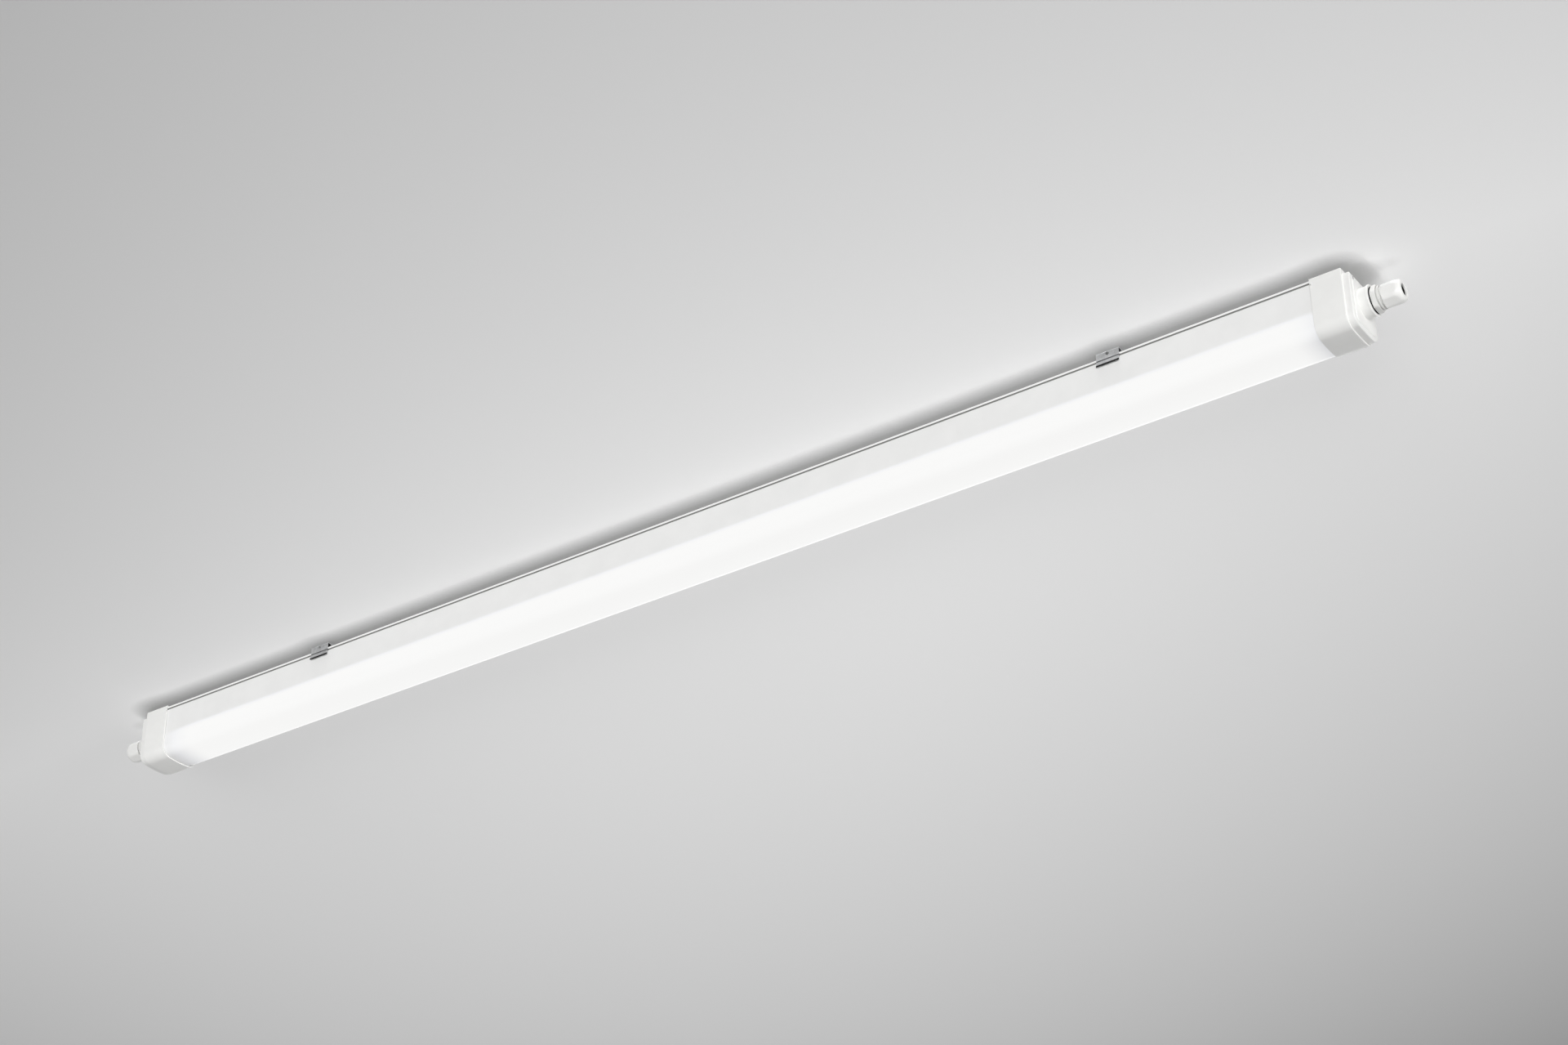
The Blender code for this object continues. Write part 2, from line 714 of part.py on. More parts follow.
def driver_cover():
    base, board, top = driver_levels()
    half = DRIVER_WIDTH / 2
    low_z = base + DRIVER_SHEET + GAP
    obj = box("driver_cover", (driver_start(), -half, low_z), (driver_end(), half, top))
    low = (driver_start() + DRIVER_SHEET, -half + DRIVER_SHEET, low_z - OVERRUN)
    high = (driver_end() - DRIVER_SHEET, half - DRIVER_SHEET, top - DRIVER_SHEET)
    cut(obj, box("driver_cover_hollow", low, high))
    window_y = CONNECTOR_WIDTH / 2 + GAP
    sill = board + DRIVER_BOARD_THICKNESS
    for x in (driver_start(), driver_end()):
        low = (x - OVERRUN, -window_y, sill)
        high = (x + OVERRUN, window_y, sill + GAP + CONNECTOR_HEIGHT + GAP)
        cut(obj, box("driver_cover_window", low, high))
    return finish(obj, ZINC)


def driver_circuit_board():
    """The board with its transformer, choke and capacitors."""
    _, board, _ = driver_levels()
    margin = DRIVER_SHEET + DRIVER_BOARD_MARGIN
    half = DRIVER_WIDTH / 2 - margin
    start, end = driver_start() + margin, driver_end() - margin
    top = board + DRIVER_BOARD_THICKNESS
    obj = box("driver_circuit_board", (start, -half, board), (end, half, top))
    sink = DRIVER_BOARD_THICKNESS / 2
    run = end - start
    coil_shares = (0.30, 0.62)
    for share in coil_shares:
        x = start + run * share
        low = (x - COIL_LENGTH / 2, -COIL_WIDTH / 2, top - sink)
        join(obj, box("driver_coil", low, (x + COIL_LENGTH / 2, COIL_WIDTH / 2, top + COIL_HEIGHT)))
    capacitor_shares = (0.14, 0.45, 0.76, 0.85)
    for share in capacitor_shares:
        x = start + run * share
        ends = (x, 0, top - sink), (x, 0, top + CAPACITOR_HEIGHT)
        join(obj, rod("driver_capacitor", CAPACITOR_DIAMETER / 2, *ends))
    return finish(obj, BOARD_GREEN)


def driver_connector(name, outer_x, inward, poles):
    """A push-in connector in the cover's end window, with its wire entries facing out."""
    _, board, _ = driver_levels()
    low_z = board + DRIVER_BOARD_THICKNESS + GAP
    inner_x = outer_x + inward * CONNECTOR_LENGTH
    half = CONNECTOR_WIDTH / 2
    low = (min(outer_x, inner_x), -half, low_z)
    obj = box(name, low, (max(outer_x, inner_x), half, low_z + CONNECTOR_HEIGHT))
    z = low_z + CONNECTOR_HEIGHT / 2
    for y in poles:
        ends = (outer_x - inward * OVERRUN, y, z), (outer_x + inward * CONNECTOR_LENGTH / 2, y, z)
        cut(obj, rod(f"{name}_entry", ENTRY_DIAMETER / 2, *ends))
    return finish(obj, WHITE_ABS)


def driver_poles():
    return [-CONNECTOR_WIDTH / 4, CONNECTOR_WIDTH / 4]


def driver_entry_height():
    _, board, _ = driver_levels()
    return board + DRIVER_BOARD_THICKNESS + GAP + CONNECTOR_HEIGHT / 2


def led_driver():
    driver_base()
    driver_cover()
    driver_circuit_board()
    driver_connector("driver_input_connector", driver_end(), -1, driver_poles())
    driver_connector("driver_output_connector", driver_start(), 1, driver_poles())
    base, _, _ = driver_levels()
    for number, x in enumerate(driver_screw_places(), 1):
        under = (x, 0, base + DRIVER_SHEET + GAP)
        screw(f"driver_screw_{number}", under, (0, 0, -1), under[2] - TRAY_UNDER)


# Terminal block and wires


def terminal_middle():
    return TRAY_END - TERMINAL_SET_BACK


def terminal_base():
    return TRAY_FLOOR + GAP


def pole_places():
    return {"neutral": -POLE_PITCH, "live": 0, "earth": POLE_PITCH}


def terminal_entry_height():
    return terminal_base() + TERMINAL_HEIGHT / 3


def terminal_block():
    x, base = terminal_middle(), terminal_base()
    top = base + TERMINAL_HEIGHT
    half = (TERMINAL_LENGTH / 2, TERMINAL_WIDTH / 2)
    low = (x - half[0], -half[1], base)
    obj = box("terminal_block", low, (x + half[0], half[1], top))
    well = (BUTTON_LENGTH / 2 + BUTTON_PLAY, BUTTON_WIDTH / 2 + BUTTON_PLAY)
    well_floor = top - BUTTON_HEIGHT
    z = terminal_entry_height()
    for pole, y in pole_places().items():
        low = (x - well[0], y - well[1], well_floor)
        cut(obj, box(f"terminal_{pole}_well", low, (x + well[0], y + well[1], top + OVERRUN)))
        for side in (-1, 1):
            face = x + side * half[0]
            ends = (face - side * ENTRY_DEPTH, y, z), (face + side * OVERRUN, y, z)
            cut(obj, rod(f"terminal_{pole}_entry", ENTRY_DIAMETER / 2, *ends))
    finish(obj, WHITE_ABS)
    for pole, y in pole_places().items():
        low = (x - BUTTON_LENGTH / 2, y - BUTTON_WIDTH / 2, top + BUTTON_RISE - BUTTON_HEIGHT)
        high = (x + BUTTON_LENGTH / 2, y + BUTTON_WIDTH / 2, top + BUTTON_RISE)
        finish(box(f"terminal_button_{pole}", low, high), GLAND_GREY)


def earth_place():
    return TRAY_END - EARTH_SET_BACK, POLE_PITCH + EARTH_RING / 4


def earth_ring():
    """A ring tongue under the earth screw."""
    x, y = earth_place()
    low_z = TRAY_FLOOR + GAP
    top = low_z + EARTH_RING_THICKNESS
    obj = rod("earth_ring", EARTH_RING / 2, (x, y, low_z), (x, y, top))
    tongue = EARTH_RING / 4
    low = (x, y - tongue, low_z)
    join(obj, box("earth_tongue", low, (x + EARTH_TONGUE, y + tongue, top)))
    hole = (x, y, low_z - OVERRUN), (x, y, top + OVERRUN)
    cut(obj, rod("earth_ring_hole", SCREW_SHANK / 2 + GAP, *hole))
    finish(obj, ZINC)
    screw("earth_screw", (x, y, top + GAP), (0, 0, -1), top + GAP - TRAY_UNDER)


def mains_wires():
    """Live and neutral to the driver, and earth to its ring on the tray."""
    start_x = terminal_middle() - TERMINAL_LENGTH / 2 + ENTRY_DEPTH - GAP
    face_x = terminal_middle() - TERMINAL_LENGTH / 2
    end_x = driver_end() - CONNECTOR_LENGTH / 2 + GAP
    start_z, end_z = terminal_entry_height(), driver_entry_height()
    lead = ENTRY_DEPTH
    poles = pole_places()
    for pole, end_y in zip(("neutral", "live"), driver_poles()):
        y = poles[pole]
        route = [(start_x, y, start_z), (face_x, y, start_z), (face_x - lead, y, start_z)]
        route += [(driver_end() + 2 * lead, end_y, end_z), (driver_end() + lead, end_y, end_z)]
        route += [(driver_end(), end_y, end_z), (end_x, end_y, end_z)]
        wire(f"{pole}_wire", route, MAINS_WIRE, WIRE_COLOURS[pole])
    x, y = earth_place()
    pole_y = poles["earth"]
    crimp_x = x + EARTH_TONGUE + GAP
    crimp_z = TRAY_FLOOR + 2 * GAP + MAINS_WIRE / 2
    route = [(start_x, pole_y, start_z), (face_x, pole_y, start_z), (face_x - lead, pole_y, start_z)]
    route += [(crimp_x + lead, y, crimp_z), (crimp_x, y, crimp_z)]
    wire("earth_wire", route, MAINS_WIRE, WIRE_COLOURS["earth"])


def board_wires():
    """Plus and minus, from the driver's output down through the tray to the board below."""
    hole_x, hole_y = wire_hole_place()
    start_x = driver_start() + CONNECTOR_LENGTH / 2 - GAP
    lead = CONNECTOR_LENGTH / 2
    z = driver_entry_height()
    feed_y = BOARD_WIDTH / 2 + BOARD_WIRE / 2
    feed_z = BOARD_UNDER - FEED_HEIGHT / 2
    shifts = [-BOARD_WIRE_PITCH / 2, BOARD_WIRE_PITCH / 2]
    above = (TRAY_FLOOR + z) / 2
    for name, start_y, shift in zip(("plus", "minus"), driver_poles(), shifts):
        x = hole_x + shift
        route = [(start_x, start_y, z), (driver_start(), start_y, z), (driver_start() - lead, start_y, z)]
        route += [(x + lead, (start_y + hole_y) / 2, z), (x, hole_y, above), (x, hole_y, TRAY_UNDER)]
        route += [(x, hole_y - BOARD_WIRE / 2, (TRAY_UNDER + feed_z) / 2 - BOARD_WIRE / 2)]
        route += [(x, feed_y, feed_z)]
        wire(f"board_{name}_wire", route, BOARD_WIRE, WIRE_COLOURS[name])


# End caps and glands, built in an end's own frame


def end_cap(side, frame):
    """Collar, end plate and gland boss in one moulding, hollow, with its screw posts."""
    name = f"end_cap_{side}"
    collar_top = LIP_TOP + COLLAR_TOP_RISE
    plate_top = collar_top - PLATE_TOP_INSET
    obj = extruded(name, [plain_outline(COLLAR_WALL, collar_top)], 0, COLLAR_LENGTH)
    plate_grow = COLLAR_WALL - PLATE_INSET
    start = COLLAR_LENGTH - COLLAR_WALL
    plate = extruded(f"{name}_plate", [plain_outline(plate_grow, plate_top)], start, PLATE_FACE)
    join(obj, plate, frame)
    plateau_grow = plate_grow - PLATEAU_INSET
    outline = plain_outline(plateau_grow, plate_top - PLATEAU_INSET)
    rise = extruded(f"{name}_plateau", [outline], PLATE_BACK, PLATE_FACE + PLATEAU_RISE)
    join(obj, rise, frame)
    boss = turned(f"{name}_boss", boss_profile(), ROUND_STEPS)
    join(obj, boss, frame)
    hollow_grow = plate_grow - CAP_WALL
    hollow = plain_outline(hollow_grow, plate_top - CAP_WALL)
    cut(obj, extruded(f"{name}_hollow", [hollow], COLLAR_GRIP, PLATE_BACK), frame)
    pocket = extruded(f"{name}_pocket", [lipped_outline(COLLAR_FIT)], -OVERRUN, SHOULDER)
    cut(obj, pocket, frame)
    post_end = COLLAR_GRIP - TRAY_SET_BACK - TAB_RECESS + GAP
    for y, z in post_places():
        ends = (post_end, y, z), (PLATE_FACE - PLATE_THICKNESS / 2, y, z)
        join(obj, rod(f"{name}_post", POST_DIAMETER / 2, *ends), frame)
        ends = (post_end - OVERRUN, y, z), (post_end + TRAY_SCREW_LENGTH + OVERRUN, y, z)
        cut(obj, rod(f"{name}_pilot", PILOT_HOLE / 2, *ends), frame)
    ends = (COLLAR_LENGTH, 0, GLAND_Z), (BOSS_END + OVERRUN, 0, GLAND_Z)
    cut(obj, rod(f"{name}_bore", GLAND_THREAD / 2 + GAP, *ends, ROUND_STEPS), frame)
    for way in (-1, 1):
        y = way * SLIT_SPREAD / 2
        low = (PLATE_FACE - SLIT_REACH, y - SLIT_WIDTH / 2, plate_top - SLIT_DEPTH)
        high = (PLATE_FACE + OVERRUN, y + SLIT_WIDTH / 2, plate_top + OVERRUN)
        cut(obj, box(f"{name}_slit", low, high), frame)
        edge = way * (HALF + COLLAR_WALL / 2)
        notch_z = LIP_TOP - NOTCH_DROP
        reach = COLLAR_WALL
        low = (-OVERRUN, edge - reach, notch_z - NOTCH_SIZE / 2)
        high = (NOTCH_SIZE, edge + reach, notch_z + NOTCH_SIZE / 2)
        cut(obj, box(f"{name}_notch", low, high), frame)
    # The exact solver drops a face of the shallow crown here.
    for modifier in obj.modifiers:
        modifier.solver = "MANIFOLD"
    return finish(obj, WHITE_ABS, frame)


def boss_profile():
    rim = BOSS_END - BOSS_RIM_LENGTH
    boss, boss_rim = BOSS_DIAMETER / 2, BOSS_RIM_DIAMETER / 2
    outer = [(boss_rim, BOSS_END), (boss_rim, rim), (boss, rim), (boss, PLATE_BACK)]
    return [(0, BOSS_END), *outer, (0, PLATE_BACK)]


def end_cap_gasket(side, frame):
    outlines = [lipped_outline(COLLAR_FIT - GAP), plain_outline(-TUBE_WALL, ROOF)]
    start = COLLAR_GRIP + GAP
    obj = extruded(f"end_cap_gasket_{side}", outlines, start, start + GASKET_THICKNESS)
    return finish(obj, GREY_RUBBER, frame)


def gland_washer(side, frame):
    inner, outer = GLAND_THREAD / 2 + GAP, WASHER_DIAMETER / 2
    start = BOSS_END + GAP
    end = start + WASHER_THICKNESS
    profile = [(outer, end), (outer, start), (inner, start), (inner, end)]
    return finish(turned(f"gland_washer_{side}", profile), BLACK_RUBBER, frame)


def hexagon(name, across, start, end):
    """A six-sided rod on the gland's axis, by the width across its flats."""
    corner = across / math.sqrt(3)
    return rod(name, corner, (start, 0, GLAND_Z), (end, 0, GLAND_Z), 6)


def gland_body(side, frame):
    name = f"gland_body_{side}"
    thread, neck, ring = GLAND_THREAD / 2, NECK_DIAMETER / 2, NECK_RING_DIAMETER / 2
    ring_start = NECK_START + (NECK_LENGTH - NECK_RING_THICKNESS) / 2
    ring_end = ring_start + NECK_RING_THICKNESS
    profile = [(0, BODY_END), (thread, BODY_END), (thread, NUT_START), (neck, NUT_START)]
    profile += [(neck, ring_end), (ring, ring_end), (ring, ring_start), (neck, ring_start)]
    flange_middle = FLANGE_START + FLANGE_THICKNESS / 2
    spigot_end = FLANGE_START - GLAND_SPIGOT
    profile += [(neck, flange_middle), (thread, flange_middle), (thread, spigot_end), (0, spigot_end)]
    obj = turned(name, profile)
    join(obj, hexagon(f"{name}_flange", FLANGE_ACROSS, FLANGE_START, NECK_START), frame)
    ends = (spigot_end - OVERRUN, 0, GLAND_Z), (BODY_END + OVERRUN, 0, GLAND_Z)
    cut(obj, rod(f"{name}_bore", GLAND_BORE / 2, *ends, FINE_STEPS), frame)
    return finish(obj, GLAND_GREY, frame)


def gland_seal(side, frame):
    """The rubber insert that grips the cable, between the body and the nut's face."""
    inner = SEAL_BORE / 2
    outer = inner + SEAL_WALL
    start, end = BODY_END + GAP, NUT_END - NUT_FACE_THICKNESS - GAP
    profile = [(outer, end), (outer, start), (inner, start), (inner, end)]
    return finish(turned(f"gland_seal_{side}", profile), BLACK_RUBBER, frame)


def gland_nut(side, frame):
    """A dome nut: six flats, then a rounded nose round the cable's hole."""
    name = f"gland_nut_{side}"
    start = NUT_START + GAP
    radius, face = NUT_DIAMETER / 2, NUT_FACE_DIAMETER / 2
    shoulder = start + NUT_STRAIGHT
    nose = NUT_END - shoulder
    profile = [(0, NUT_END), (face, NUT_END)]
    nose_steps = 6
    for i in range(1, nose_steps + 1):
        angle = math.pi / 2 * i / nose_steps
        profile.append((face + (radius - face) * math.sin(angle), shoulder + nose * math.cos(angle)))
    profile += [(radius, start + NUT_CHAMFER), (radius - NUT_CHAMFER, start), (0, start)]
    obj = turned(name, profile)
    flats = hexagon(f"{name}_flats", NUT_ACROSS, start - OVERRUN, NUT_END + OVERRUN)
    axis = Matrix.Translation((0, 0, GLAND_Z))
    turn = Matrix.Rotation(-NUT_TURN if side == "right" else NUT_TURN, 4, "X")
    flats.data.transform(axis @ turn @ axis.inverted())
    boolean(obj, as_helper(flats, frame), "INTERSECT")
    thread = GLAND_THREAD / 2 + GAP
    ends = (start - OVERRUN, 0, GLAND_Z), (NUT_END - NUT_FACE_THICKNESS, 0, GLAND_Z)
    cut(obj, rod(f"{name}_thread", thread, *ends, ROUND_STEPS), frame)
    ends = (start, 0, GLAND_Z), (NUT_END + OVERRUN, 0, GLAND_Z)
    cut(obj, rod(f"{name}_hole", NUT_HOLE / 2, *ends, FINE_STEPS), frame)
    return finish(obj, WHITE_ABS, frame)


def tray_screws():
    """From inside the tray, through its tab, into the right cap's posts."""
    for number, (y, z) in enumerate(post_places(), 1):
        under = (TAB_INNER - GAP, y, z)
        screw(f"tray_screw_{number}", under, (1, 0, 0), TRAY_SCREW_LENGTH)


def main():
    ceiling_clip("mounting_clip_left", -CLIP_SPACING / 2)
    ceiling_clip("mounting_clip_right", CLIP_SPACING / 2)
    opal_tube()
    gear_tray()
    for index in range(BOARD_COUNT):
        led_board(index)
    for index in range(BOARD_COUNT - 1):
        board_link(index)
    led_driver()
    terminal_block()
    earth_ring()
    mains_wires()
    board_wires()
    tray_screws()
    ends = {"right": (VISIBLE_LENGTH / 2, 0), "left": (-VISIBLE_LENGTH / 2, math.pi)}
    for side, (reach, turn) in ends.items():
        frame = end_frame(f"{side}_end", FIXTURE_SHIFT + reach, turn)
        end_cap(side, frame)
        end_cap_gasket(side, frame)
        gland_washer(side, frame)
        gland_body(side, frame)
        gland_seal(side, frame)
        gland_nut(side, frame)


main()
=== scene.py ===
"""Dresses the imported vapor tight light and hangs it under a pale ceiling, as it was photographed.

Lengths are in metres, in the frame of the CAD model: X runs along the fixture, Z is up, and the
ceiling is at zero. An end's own X points out of that end of the fixture.
"""

from __future__ import annotations

import logging
import math
from dataclasses import dataclass
from enum import Enum
from typing import Any, Callable

import bmesh
import bpy
import numpy as np
from mathutils import Matrix, Vector
from mathutils.geometry import tessellate_polygon

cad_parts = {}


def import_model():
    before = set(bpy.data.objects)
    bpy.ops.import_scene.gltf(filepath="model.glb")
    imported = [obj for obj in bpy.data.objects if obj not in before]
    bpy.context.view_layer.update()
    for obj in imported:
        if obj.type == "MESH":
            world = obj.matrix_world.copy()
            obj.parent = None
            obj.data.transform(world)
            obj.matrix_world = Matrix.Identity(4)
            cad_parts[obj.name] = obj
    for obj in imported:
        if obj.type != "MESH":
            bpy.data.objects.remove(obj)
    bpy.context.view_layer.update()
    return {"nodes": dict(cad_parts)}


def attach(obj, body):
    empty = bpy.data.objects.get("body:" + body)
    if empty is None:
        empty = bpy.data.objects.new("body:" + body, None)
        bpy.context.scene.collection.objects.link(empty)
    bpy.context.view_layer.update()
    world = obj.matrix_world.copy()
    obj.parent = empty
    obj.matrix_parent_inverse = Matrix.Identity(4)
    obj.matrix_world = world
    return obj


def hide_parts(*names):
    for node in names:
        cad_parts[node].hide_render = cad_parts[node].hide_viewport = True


Array = np.ndarray
Material = bpy.types.Material
Pair = tuple[float, float]
Piece = bpy.types.Object
Tree = bpy.types.NodeTree
Triple = tuple[float, float, float]

LOG = logging.getLogger("vapor_tight_light")
MM = 0.001
SHARP = math.radians(38)
MERGE = 0.000002


def mm(*lengths: float) -> tuple[float, ...]:
    """Lengths in metres, from millimetres."""
    return tuple(length * MM for length in lengths)


# Colour and material nodes


def linear(colour: str) -> tuple[float, ...]:
    """Turns an sRGB hex colour to linear light, with an alpha of one."""
    parts = np.array([int(colour[i : i + 2], 16) for i in (0, 2, 4)]) / 255
    light = np.where(parts <= 0.04045, parts / 12.92, ((parts + 0.055) / 1.055) ** 2.4)
    return (*light.tolist(), 1.0)


def feed(tree: Tree, node: bpy.types.Node, links: dict[Any, Any]) -> None:
    """Links a node's inputs.

    Args:
        tree: the material's or the world's nodes.
        node: the node whose inputs are linked.
        links: input to what feeds it: an output, or a node for its first output.
    """
    for key, source in links.items():
        if isinstance(source, bpy.types.Node):
            source = source.outputs[0]
        tree.links.new(source, node.inputs[key])


def add_node(
    tree: Tree,
    kind: str,
    values: dict[Any, Any] | None = None,
    links: dict[Any, Any] | None = None,
    **settings: Any,
) -> bpy.types.Node:
    """Adds one node.

    Args:
        tree: the material's or the world's nodes.
        kind: the node's type, without its ShaderNode prefix.
        values: input to the value set on it.
        links: input to what feeds it.
        **settings: the node's own settings.

    Returns:
        The node.
    """
    made = tree.nodes.new("ShaderNode" + kind)
    for key, value in settings.items():
        setattr(made, key, value)
    for key, value in (values or {}).items():
        made.inputs[key].default_value = value
    feed(tree, made, links or {})
    return made


def set_ramp(node: bpy.types.Node, stops: list[tuple[float, tuple[float, ...]]]) -> None:
    """Gives a Color Ramp node its stops, each a place and a linear colour."""
    stock = node.color_ramp.elements
    while len(stock) < len(stops):
        stock.new(0.5)
    for element, (place, colour) in zip(stock, stops):
        element.position = place
        element.color = colour


@dataclass(frozen=True)
class Finish:
    """What a piece is made of, and how its surface was made.

    Two noises on object coordinates give the colour its slight unevenness and the surface its
    grain. The grain's pitch is in metres along X, Y and Z, so a drawn or extruded surface has a
    long pitch along its run. The middle part of each noise, its span, carries the whole change.
    """

    name: str
    slot: str
    colour: str
    second: str
    roughness: float
    grain: Triple = (0.0006, 0.0006, 0.0006)
    depth: float = 0.00002
    patch: float = 0.03
    metallic: float = 0.0
    spread: float = 0.06
    coat: float = 0.0
    specular: float = 0.5
    colour_span: Pair = (0.35, 0.65)
    gloss_span: Pair = (0.3, 0.7)
    smoothest: float = 0.03

    def build(self) -> Material:
        """Makes the material."""
        made = bpy.data.materials.new(self.name)
        made.use_nodes = True
        tree = made.node_tree
        shader = tree.nodes["Principled BSDF"]
        shader.inputs["Metallic"].default_value = self.metallic
        shader.inputs["Coat Weight"].default_value = self.coat
        shader.inputs["Specular IOR Level"].default_value = self.specular
        place = add_node(tree, "TexCoord").outputs["Object"]
        values = {"Scale": 1 / self.patch, "Detail": 3.0, "Roughness": 0.55}
        blotch = add_node(tree, "TexNoise", values, {"Vector": place})
        tone = add_node(tree, "ValToRGB", links={"Fac": blotch})
        set_ramp(tone, [*zip(self.colour_span, (linear(self.colour), linear(self.second)))])
        values = {"Scale": tuple(1 / pitch for pitch in self.grain)}
        scaled = add_node(tree, "Mapping", values, {"Vector": place})
        values = {"Scale": 1.0, "Detail": 2.0, "Roughness": 0.5}
        fine = add_node(tree, "TexNoise", values, {"Vector": scaled})
        ends = max(self.smoothest, self.roughness - self.spread), self.roughness + self.spread
        values = dict(zip(("From Min", "From Max", "To Min", "To Max"), (*self.gloss_span, *ends)))
        gloss = add_node(tree, "MapRange", values, {"Value": fine})
        bump = add_node(tree, "Bump", {"Strength": 1.0, "Distance": self.depth}, {"Height": fine})
        feed(tree, shader, {"Base Color": tone, "Roughness": gloss, "Normal": bump})
        self.dress(tree, shader, place)
        return made

    def dress(self, tree: Tree, shader: bpy.types.Node, place: Any) -> None:
        """Adds what only this finish has: nothing on a plain one."""


@dataclass(frozen=True)
class LitOpal(Finish):
    """Opal polycarbonate with the lamps behind it.

    The glow rises below the height of the LED boards and fades past the last lamp at each end.
    There the wall gives back less of the room's light, because most of it goes through to the
    bright chamber. The lips above the grooves carry a painted highlight, a paler base colour, and
    the clips' grooves carry painted shade, a grey base colour.
    """

    glow: float = 0.835
    tint: str = "FDFDFC"
    dim: str = "BFC0C3"
    lit_wall: str = "646464"
    lip_painted_highlight: str = "FAFAF9"
    groove_painted_shade: str = "8A8A88"
    edge: float = -0.0400
    blur: float = 0.0034
    first_lamp: float = -0.7095
    last_lamp: float = 0.6985
    fade: float = 0.028
    groove_low: float = -0.00965
    groove_high: float = -0.00755
    groove_wide: float = 0.02440
    rim: float = 0.00015

    def dress(self, tree: Tree, shader: bpy.types.Node, place: Any) -> None:
        """Adds the glow, the lips' painted highlight and the grooves' painted shade.

        Each area is a product of smooth steps along an axis: the step is 0 on one side of its
        place, 1 on the other, and rises from the place less a reach to the place plus it.
        """
        axes = dict(add_node(tree, "SeparateXYZ", links={"Vector": place}).outputs.items())
        axes["across"] = add_node(tree, "Math", links={0: axes["Y"]}, operation="ABSOLUTE")
        lit = [("Z", self.edge, -self.blur), ("X", self.first_lamp, self.fade)]
        lit.append(("X", self.last_lamp, -self.fade))
        # painted highlight: the lips above the groove get a paler base colour
        lip = [("Z", self.groove_high, self.rim)]
        # painted shade: the groove's floor and slopes get a grey base colour
        groove = [("Z", self.groove_low, self.rim), ("Z", self.groove_high, -self.rim)]
        groove.append(("across", self.groove_wide, -self.rim))
        areas = []
        for steps in (lit, lip, groove):
            area = None
            for axis, at, reach in steps:
                values = {"From Min": at - reach, "From Max": at + reach}
                links = {"Value": axes[axis]}
                step = add_node(tree, "MapRange", values, links, interpolation_type="SMOOTHSTEP")
                if area is not None:
                    step = add_node(tree, "Math", links={0: area, 1: step}, operation="MULTIPLY")
                area = step
            areas.append(area)
        wall = shader.inputs["Base Color"].links[0].from_socket
        for area, colour in zip(areas, (self.lit_wall, self.lip_painted_highlight, self.groove_painted_shade)):
            values, links = {7: linear(colour)}, {0: area, 6: wall}
            wall = add_node(tree, "Mix", values, links, data_type="RGBA").outputs[2]
        ramp = add_node(tree, "ValToRGB", links={"Fac": areas[0]})
        dark = (0.0, 0.0, 0.0, 1.0)
        set_ramp(ramp, [(0.0, dark), (0.5, linear(self.dim)), (1.0, linear(self.tint))])
        feed(tree, shader, {"Base Color": wall, "Emission Color": ramp})
        shader.inputs["Emission Strength"].default_value = self.glow


ROLLED = (0.006, 0.0002, 0.0002), 0.000002
DRAWN = (0.01, 0.0006, 0.0006), 0.000005


